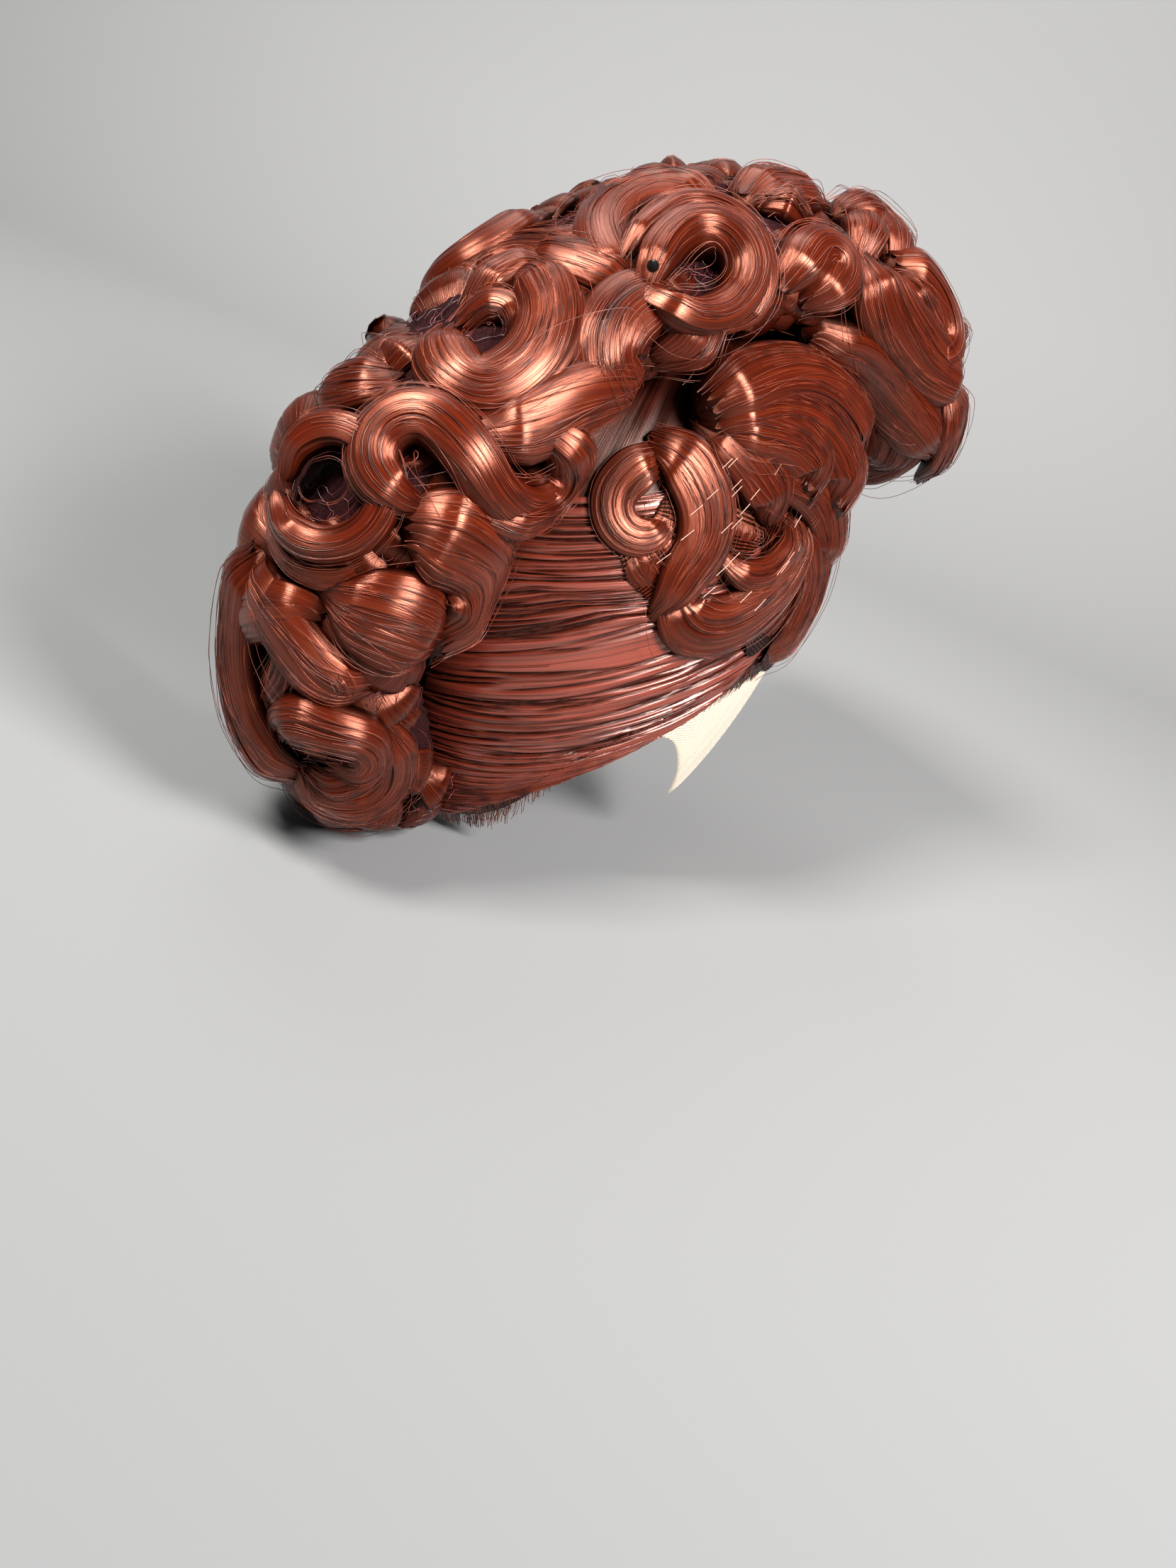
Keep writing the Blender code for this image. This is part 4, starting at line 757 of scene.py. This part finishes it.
def makeSide():
    parts = emptyParts()
    rows, columns = side["rows"], side["columns"]
    shares = np.linspace(0.0, 1.5, rows)
    ts = np.linspace(0.0, 1.0, columns)
    rng = np.random.default_rng(7)
    high = combedGrid(rng, rows, columns, side["grooves"], side["depth"])
    outer = np.array([[sideStrand(s, t, side["lift"] + high[r, c]) for c, t in enumerate(ts)]
                      for r, s in enumerate(shares)])
    inner = np.array([[sideStrand(s, t, side["lift"] - side["thick"]) for t in ts] for s in shares])
    for grid in (outer, inner):
        grid[..., 0] = np.minimum(grid[..., 0], side["past"])
    # painted shade: darker in the grooves, and darker towards the crest where the strands run in under it
    shade = np.clip(1 + high / side["dark"], side["least"], 1)
    shade = shade * (side["root"] + (1 - side["root"]) * ease(ts / side["crestShadeShare"]))[None, :]
    gridShell(parts, outer, inner, (0.0, 0.0), *side["size"], shade)
    for s in np.random.default_rng(8).uniform(0.02, 1.45, side["strays"]):
        begin, end = sorted(np.random.default_rng(int(s * 1e6)).uniform(0, 1, 2))
        if end - begin > side["strayShortest"]:
            line = [sideStrand(s, t, side["lift"] + side["strayLift"]) for t in np.linspace(begin, end, 24)]
            guides["head"].append(np.array(line))
    rows, columns = sideLayer["rows"], sideLayer["columns"]
    high = combedGrid(rng, rows, columns, sideLayer["grooves"], sideLayer["depth"])
    bearings = np.linspace(sideLayer["from"], sideLayer["to"], rows)
    downs, top, grids = np.linspace(sideLayer["first"], 1.0, columns), sideLayer["top"], []
    for lift, over in zip(sideLayer["lifts"], (high, np.zeros_like(high))):
        grid = np.zeros((rows, columns, 3))
        for r, bearing in enumerate(bearings):
            low = tableValue(edges, 1, min(abs(bearing), 180)) + sideLayer["above"]
            for c, down in enumerate(downs):
                grid[r, c] = headPoint(top + (low - top) * down, bearing, lift + over[r, c])
        grids.append(grid)
    # painted shade: the under layer is painted dark, darker in its grooves
    shade = np.clip(sideLayer["shade"] + high / sideLayer["dark"], sideLayer["least"], 1)
    gridShell(parts, grids[0], grids[1], (1.0, 1.0), *sideLayer["size"], shade)
    return parts


right = makeSide()
for name, parts in (("side_panel_right", right), ("side_panel_left", mirrorParts(right))):
    fitPiece(partsToPiece(name + "_hair", parts, gelledHair), node=name)
print("sides made")

# padding under the crest
padding = {"from": -53, "to": 149, "stations": 150, "columns": 110, "tufts": 0.0011, "squeeze": 0.30}
parts = emptyParts()
rng = np.random.default_rng(5)
angles = np.linspace(padding["from"], padding["to"], padding["stations"])
grid = np.zeros((padding["stations"], padding["columns"], 3))
for k, u in enumerate(angles):
    near = min(u - padding["from"], padding["to"] - u) / 12
    scale = math.sqrt(max(0.04, 1 - (1 - min(near, 1)) ** 2))
    core, depth, half = crestSection(u)
    ray = np.array([0, math.cos(math.radians(u)), math.sin(math.radians(u))])
    turn = 2 * np.pi * np.arange(padding["columns"]) / padding["columns"]
    out = core + (depth - crest["inset"]) * scale * np.cos(turn)
    grid[k] = headCentre + ray[None, :] * out[:, None]
    squeeze = 1 - padding["squeeze"] * min(max((10 - u) / 30, 0), 1)  # narrower at the nape
    grid[k, :, 0] = -(half - crest["inset"]) * scale * squeeze * np.sin(turn)
grid += rng.normal(0, padding["tufts"] / 2.5, grid.shape)
ends = np.stack([grid[0].mean(axis=0), grid[-1].mean(axis=0)])
run = np.linspace(0, 0.5, padding["stations"])
parts["faces"] += ringFaces(padding["stations"], padding["columns"], 0)
parts["uv"] += ringUv(padding["stations"], padding["columns"], 0.2, run, (0, 0))
parts["points"].append(np.concatenate([grid.reshape(-1, 3), ends]))
pad = partsToPiece("padding_felt", parts, padFelt, side["lift"] + 0.0003)
fitPiece(pad, node="padding")
print("padding made")

# cap and lace
def domeParts(lifts, rows, columns):
    parts = emptyParts()
    grids = []
    for lift in lifts:
        grid = np.zeros((rows, columns, 3))
        for r in range(rows):
            bearing = 360 * r / rows
            low = tableValue(edges, 1, abs((bearing + 180) % 360 - 180))
            for c in range(columns):
                grid[r, c] = headPoint(89.5 + (low - 89.5) * c / (columns - 1), bearing, lift)
        grids.append(grid)
    half = rows * columns
    for k, grid in enumerate(grids):
        parts["points"].append(np.concatenate([grid.reshape(-1, 3), [headPoint(90, 0, lifts[k])]]))
    for k in range(2):
        first = k * (half + 1)
        for r in range(rows):
            r2 = (r + 1) % rows
            u, u2 = 0.5 * r / rows, 0.5 * (r + 1) / rows
            tip = (first + half, first + r2 * columns, first + r * columns)
            parts["faces"].append(tip if k else tip[::-1])
            parts["uv"] += [(u, 0), (u2, 0), (u, 0)]
            for c in range(columns - 1):
                a, b = first + r * columns + c, first + r2 * columns + c
                quad, v, v2 = (a, b, b + 1, a + 1), 0.2 * c / columns, 0.2 * (c + 1) / columns
                corner = [(u, v), (u2, v), (u2, v2), (u, v2)]
                parts["faces"].append(quad if k else quad[::-1])
                parts["uv"] += corner if k else corner[::-1]
    for r in range(rows):
        a, b = r * columns + columns - 1, ((r + 1) % rows) * columns + columns - 1
        parts["faces"].append((a, a + half + 1, b + half + 1, b))
        parts["uv"] += [(0, 0)] * 4
    parts["count"] = 2 * half + 2
    return parts


fitPiece(partsToPiece("cap_net", domeParts((0.0, wall["cap"]), 96, 40), capNet), node="cap")

lace = {"from": 66, "to": 294, "rows": 120, "columns": 12, "thick": 0.0006}
grids = []
for lift in (lace["thick"], 0.0):
    grid = np.zeros((lace["rows"], lace["columns"], 3))
    for r in range(lace["rows"]):
        bearing = lace["from"] + (lace["to"] - lace["from"]) * r / (lace["rows"] - 1)
        turned = abs((bearing + 180) % 360 - 180)
        high = tableValue(edges, 1, turned) - 0.7
        low = min(tableValue(edges, 2, turned), high - 0.8)
        for c in range(lace["columns"]):
            grid[r, c] = headPoint(high + (low - high) * c / (lace["columns"] - 1), bearing, lift)
    grids.append(grid)
parts = emptyParts()
gridShell(parts, grids[0], grids[1], (0, 0), 1, 1)
corners = [parts["points"][0][corner] - headCentre for face in parts["faces"] for corner in face]
parts["uv"] = [(math.atan2(-x, -y) * head["halfLength"], z) for x, y, z in corners]  # round the head, and height
lacePiece = partsToPiece("lace_front_net", parts, laceNet)
fitPiece(lacePiece, node="lace_front")
laceMesh = lacePiece.data
laceMesh.calc_loop_triangles()
print("cap and lace made")


# loose strands: a tree that turns guide lines into fine fibres that wander
def strandTree():
    tree = bpy.data.node_groups.new("wanderingStrands", "GeometryNodeTree")
    sockets = (("Geometry", "NodeSocketGeometry", None), ("Strand Radius", "NodeSocketFloat", 0.0001),
               ("Wander", "NodeSocketFloat", 0.001), ("Wander Scale", "NodeSocketFloat", 60.0),
               ("Seed", "NodeSocketFloat", 0.0), ("Fibre", "NodeSocketMaterial", None))
    for name, kind, value in sockets:
        socket = tree.interface.new_socket(name=name, in_out="INPUT", socket_type=kind)
        if value is not None:
            socket.default_value = value
    tree.interface.new_socket(name="Geometry", in_out="OUTPUT", socket_type="NodeSocketGeometry")
    given = addNode(tree, "NodeGroupInput").outputs
    lines = addNode(tree, "GeometryNodeMeshToCurve", None, {"Mesh": given["Geometry"]})
    noise = addNode(tree, "ShaderNodeTexNoise", {"noise_dimensions": "4D", "Detail": 1.0},
                    {"Scale": given["Wander Scale"], "W": given["Seed"]})
    centred = addNode(tree, "ShaderNodeVectorMath", {"operation": "SUBTRACT"}, {0: noise.outputs["Color"]})
    centred.inputs[1].default_value = (0.5, 0.5, 0.5)
    moved = addNode(tree, "ShaderNodeVectorMath", {"operation": "SCALE"},
                    {0: centred.outputs["Vector"], "Scale": given["Wander"]})
    placed = addNode(tree, "GeometryNodeSetPosition", None,
                     {"Geometry": lines.outputs["Curve"], "Offset": moved.outputs["Vector"]})
    ring = addNode(tree, "GeometryNodeCurvePrimitiveCircle", {"Resolution": 3}, {"Radius": given["Strand Radius"]})
    fibres = addNode(tree, "GeometryNodeCurveToMesh", {"Fill Caps": True},
                     {"Curve": placed.outputs["Geometry"], "Profile Curve": ring.outputs["Curve"]})
    real = addNode(tree, "GeometryNodeRealizeInstances", None, {"Geometry": fibres.outputs["Mesh"]})
    coloured = addNode(tree, "GeometryNodeSetMaterial", None,
                       {"Geometry": real.outputs["Geometry"], "Material": given["Fibre"]})
    addNode(tree, "NodeGroupOutput", None, {"Geometry": coloured.outputs["Geometry"]})
    return tree


wanderingStrands = strandTree()


def growStrands(name, lines, material, radius, wander, scale, seed):
    points, edgesMade, count = [], [], 0
    for line in lines:
        points += line.tolist()
        edgesMade += [(count + k, count + k + 1) for k in range(len(line) - 1)]
        count += len(line)
    mesh = bpy.data.meshes.new(name + "_lines")
    mesh.from_pydata(points, edgesMade, [])
    holder = bpy.data.objects.new(name + "_lines", mesh)
    scene.collection.objects.link(holder)
    modifier = holder.modifiers.new("strands", "NODES")
    modifier.node_group = wanderingStrands
    values = {"Strand Radius": radius, "Wander": wander, "Wander Scale": scale, "Seed": seed, "Fibre": material}
    for item in wanderingStrands.interface.items_tree:
        if item.item_type == "SOCKET" and item.in_out == "INPUT" and item.name in values:
            modifier[item.identifier] = values[item.name]
    grown = bpy.data.meshes.new_from_object(holder.evaluated_get(bpy.context.evaluated_depsgraph_get()))
    piece = bpy.data.objects.new(name, grown)
    scene.collection.objects.link(piece)
    bpy.data.objects.remove(holder)
    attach(piece, "root")
    return piece


splitHeight = headCentre[2] + 0.10  # strands on the crest's back and top go into two pieces
topLines = [line for line in guides["crest"] if line[:, 2].mean() > splitHeight]
backLines = [line for line in guides["crest"] if line[:, 2].mean() <= splitHeight]
crestFibre = {"radius": 0.00012, "wander": 0.0016, "scale": 70.0}
growStrands("crest_strands_top", topLines, looseHair, **crestFibre, seed=1.0)
growStrands("crest_strands_back", backLines, looseHair, **crestFibre, seed=6.0)
growStrands("side_strands", guides["head"], looseHair, radius=0.00011, wander=0.0010, scale=70.0, seed=2.0)

# tangle of crimped fibres on the padding: each wanders over it in short steps, in degrees
tangle = {"count": 700, "over": (-50, 120), "beside": (-110, 110), "points": 16, "lift": 0.0012,
          "turn": 50, "rise": 0.6, "reach": 2.0}
rng = np.random.default_rng(12)
tangles = []
for _ in range(tangle["count"]):
    u, v = rng.uniform(*tangle["over"]), rng.uniform(*tangle["beside"])
    heading, line = rng.uniform(0, 360), []
    for k in range(tangle["points"]):
        line.append(crestPoint(u, v, -crest["inset"] + tangle["lift"]))
        heading += rng.uniform(-tangle["turn"], tangle["turn"])
        u += tangle["rise"] * math.sin(math.radians(heading))
        v += tangle["reach"] * math.cos(math.radians(heading))
    tangles.append(np.array(line))
growStrands("padding_tangle", tangles, darkHair, radius=0.00016, wander=0.0030, scale=160.0, seed=3.0)

# hairline: short wisps that leave the combed edge, longest at the nape
hairline = {"count": 900, "from": 4, "to": 122, "nape": 42, "long": 0.0130, "short": 0.0050, "points": 9,
            "above": 3.5, "lean": 4, "lift": 0.0052, "fall": 0.0035}
wisps = []
for _ in range(hairline["count"]):
    bearing = rng.uniform(hairline["from"], hairline["to"])
    edge = tableValue(edges, 1, bearing)
    length = rng.uniform(0.4, 1.0) * (hairline["long"] if bearing < hairline["nape"] else hairline["short"])
    sweep, line = rng.uniform(-0.4, 1.0), []
    for k in range(hairline["points"]):
        t = k / (hairline["points"] - 1)
        drop = math.degrees(length * t / head["below"])
        down, lift = (hairline["above"] + drop) * t, hairline["lift"] - hairline["fall"] * t
        line.append(headPoint(edge + hairline["above"] - down, bearing + hairline["lean"] * sweep * t, lift))
    wisps.append(np.array(line))
wisps += [line * np.array([-1.0, 1.0, 1.0]) for line in wisps]
growStrands("hairline_wisps", wisps, looseHair, radius=0.00012, wander=0.0014, scale=110.0, seed=4.0)

# clear thread: stitches that tack the waves down
stitch = {"count": 22, "elevations": (6, 34), "bearings": (46, 80), "up": 2.4, "round": 2.2,
          "lifts": (0.0165, 0.0160)}
thread, tree = newMaterial("clear nylon thread")
addSurface(tree, {"Base Color": hexToLinear("#d8b0a0"), "Roughness": 0.12, "IOR": 1.53, "Alpha": 0.45})
stitches = []
for _ in range(stitch["count"]):
    elevation, bearing = rng.uniform(*stitch["elevations"]), rng.uniform(*stitch["bearings"])
    start = headPoint(elevation, bearing, stitch["lifts"][0])
    end = headPoint(elevation + stitch["up"], bearing + stitch["round"], stitch["lifts"][1])
    stitches.append(np.linspace(start, end, 5))
growStrands("wave_stitches", stitches, thread, radius=0.00014, wander=0.0002, scale=60.0, seed=5.0)
print("strands grown")

# hairpin: black japanned wire with a ball end
jet, tree = newMaterial("japanned steel wire, black")
addSurface(tree, {"Base Color": hexToLinear("#0c0b0b"), "Roughness": 0.16, "IOR": 1.5})
for slot in bpy.data.objects["hairpin"].material_slots:
    slot.material = jet

# stage, light and camera
view = {"azimuth": 33.0, "elevation": 16.0, "distance": 0.590, "yaw": 30.02, "pitch": 25.47, "roll": 23.0,
        "lens": 32.55, "sensor": 36}
stage = {"floor": -0.2160, "size": 3.0, "near": -2.0, "back": 1.1, "top": 2.6, "curve": 0.5, "steps": 12}
yaw, pitch, roll = (math.radians(view[k]) for k in ("yaw", "pitch", "roll"))
away = np.array([math.sin(yaw), -math.cos(yaw), 0.0])  # along the floor, away from the camera

paper, tree = newMaterial("matt backdrop paper, cool white")
place = addNode(tree, "ShaderNodeTexCoord")
# painted shading: the paper is painted darker towards the camera and lighter towards the back
far = addNode(tree, "ShaderNodeVectorMath", {"operation": "DOT_PRODUCT"}, {0: place.outputs["Object"]})
far.inputs[1].default_value = tuple(away)
nearer = addNode(tree, "ShaderNodeMapRange", {"From Min": -0.5, "From Max": 1.0}, {"Value": far.outputs["Value"]})
paintedFalloffRamp = addNode(tree, "ShaderNodeValToRGB", None, {"Fac": nearer.outputs["Result"]})
setRamp(paintedFalloffRamp.color_ramp, [(0.0, "#5c6062"), (1.0, "#989c9e")])
addSurface(tree, {"Roughness": 0.9}, {"Base Color": paintedFalloffRamp.outputs["Color"]})


def makeStage():
    across = np.array([away[1], -away[0], 0.0])
    profile = [(stage["near"], 0.0), (stage["back"] - stage["curve"], 0.0)]
    for k in range(1, stage["steps"] + 1):
        a = math.pi / 2 * k / stage["steps"]
        profile.append((stage["back"] - stage["curve"] + stage["curve"] * math.sin(a),
                        stage["curve"] * (1 - math.cos(a))))
    profile.append((stage["back"], stage["top"]))
    points = []
    for far, up in profile:
        for sideways in (-stage["size"], stage["size"]):
            points.append(away * far + across * sideways + np.array([0, 0, stage["floor"] + up]))
    faces = [(2 * k, 2 * k + 1, 2 * k + 3, 2 * k + 2) for k in range(len(profile) - 1)]
    backdrop = makeMesh("backdrop", points, faces, None, paper)


makeStage()

centre = Vector(headCentre)
azimuth, elevation = math.radians(view["azimuth"]), math.radians(view["elevation"])
eye = centre + view["distance"] * Vector((-math.sin(azimuth) * math.cos(elevation),
                                           math.cos(azimuth) * math.cos(elevation), math.sin(elevation)))
forward = Vector((math.sin(yaw) * math.cos(pitch), -math.cos(yaw) * math.cos(pitch), -math.sin(pitch)))
rightward = Vector((-math.cos(yaw), -math.sin(yaw), 0))
upward = rightward.cross(forward)
cameraX = rightward * math.cos(roll) + upward * math.sin(roll)
cameraY = upward * math.cos(roll) - rightward * math.sin(roll)
cameraData = bpy.data.cameras.new("camera")
cameraData.lens, cameraData.sensor_width = view["lens"], view["sensor"]
camera = bpy.data.objects.new("camera", cameraData)
camera.matrix_world = Matrix((cameraX, cameraY, -forward)).transposed().to_4x4()
camera.location = eye
scene.collection.objects.link(camera)
scene.camera = camera


def areaLight(name, fromCamera, distance, size, power, colour):  # fromCamera: right, up and back shares
    light = bpy.data.lights.new(name, "AREA")
    light.size, light.energy, light.color = size, power, hexToLinear(colour)[:3]
    lamp = bpy.data.objects.new(name, light)
    way = (rightward * fromCamera[0] + upward * fromCamera[1] - forward * fromCamera[2]).normalized()
    lamp.location = centre + Vector((0, 0.05, 0.03)) + way * distance
    lamp.rotation_euler = (-way).to_track_quat("-Z", "Y").to_euler()
    scene.collection.objects.link(lamp)


areaLight("key", (-0.50, 0.55, 0.90), 1.15, 0.26, 30.0, "#fff8f2")
areaLight("top", (-0.35, 1.0, 0.1), 1.1, 0.50, 5.0, "#fff8f2")
areaLight("fill", (0.62, 0.35, 0.75), 1.2, 0.40, 44.0, "#fff6f2")
scene.view_settings.view_transform = "Standard"
world = bpy.data.worlds.new("room")
scene.world = world
world.use_nodes = True
world.node_tree.nodes["Background"].inputs["Color"].default_value = hexToLinear("#dfe4ea")
world.node_tree.nodes["Background"].inputs["Strength"].default_value = 0.08
print("stage, light and camera made")
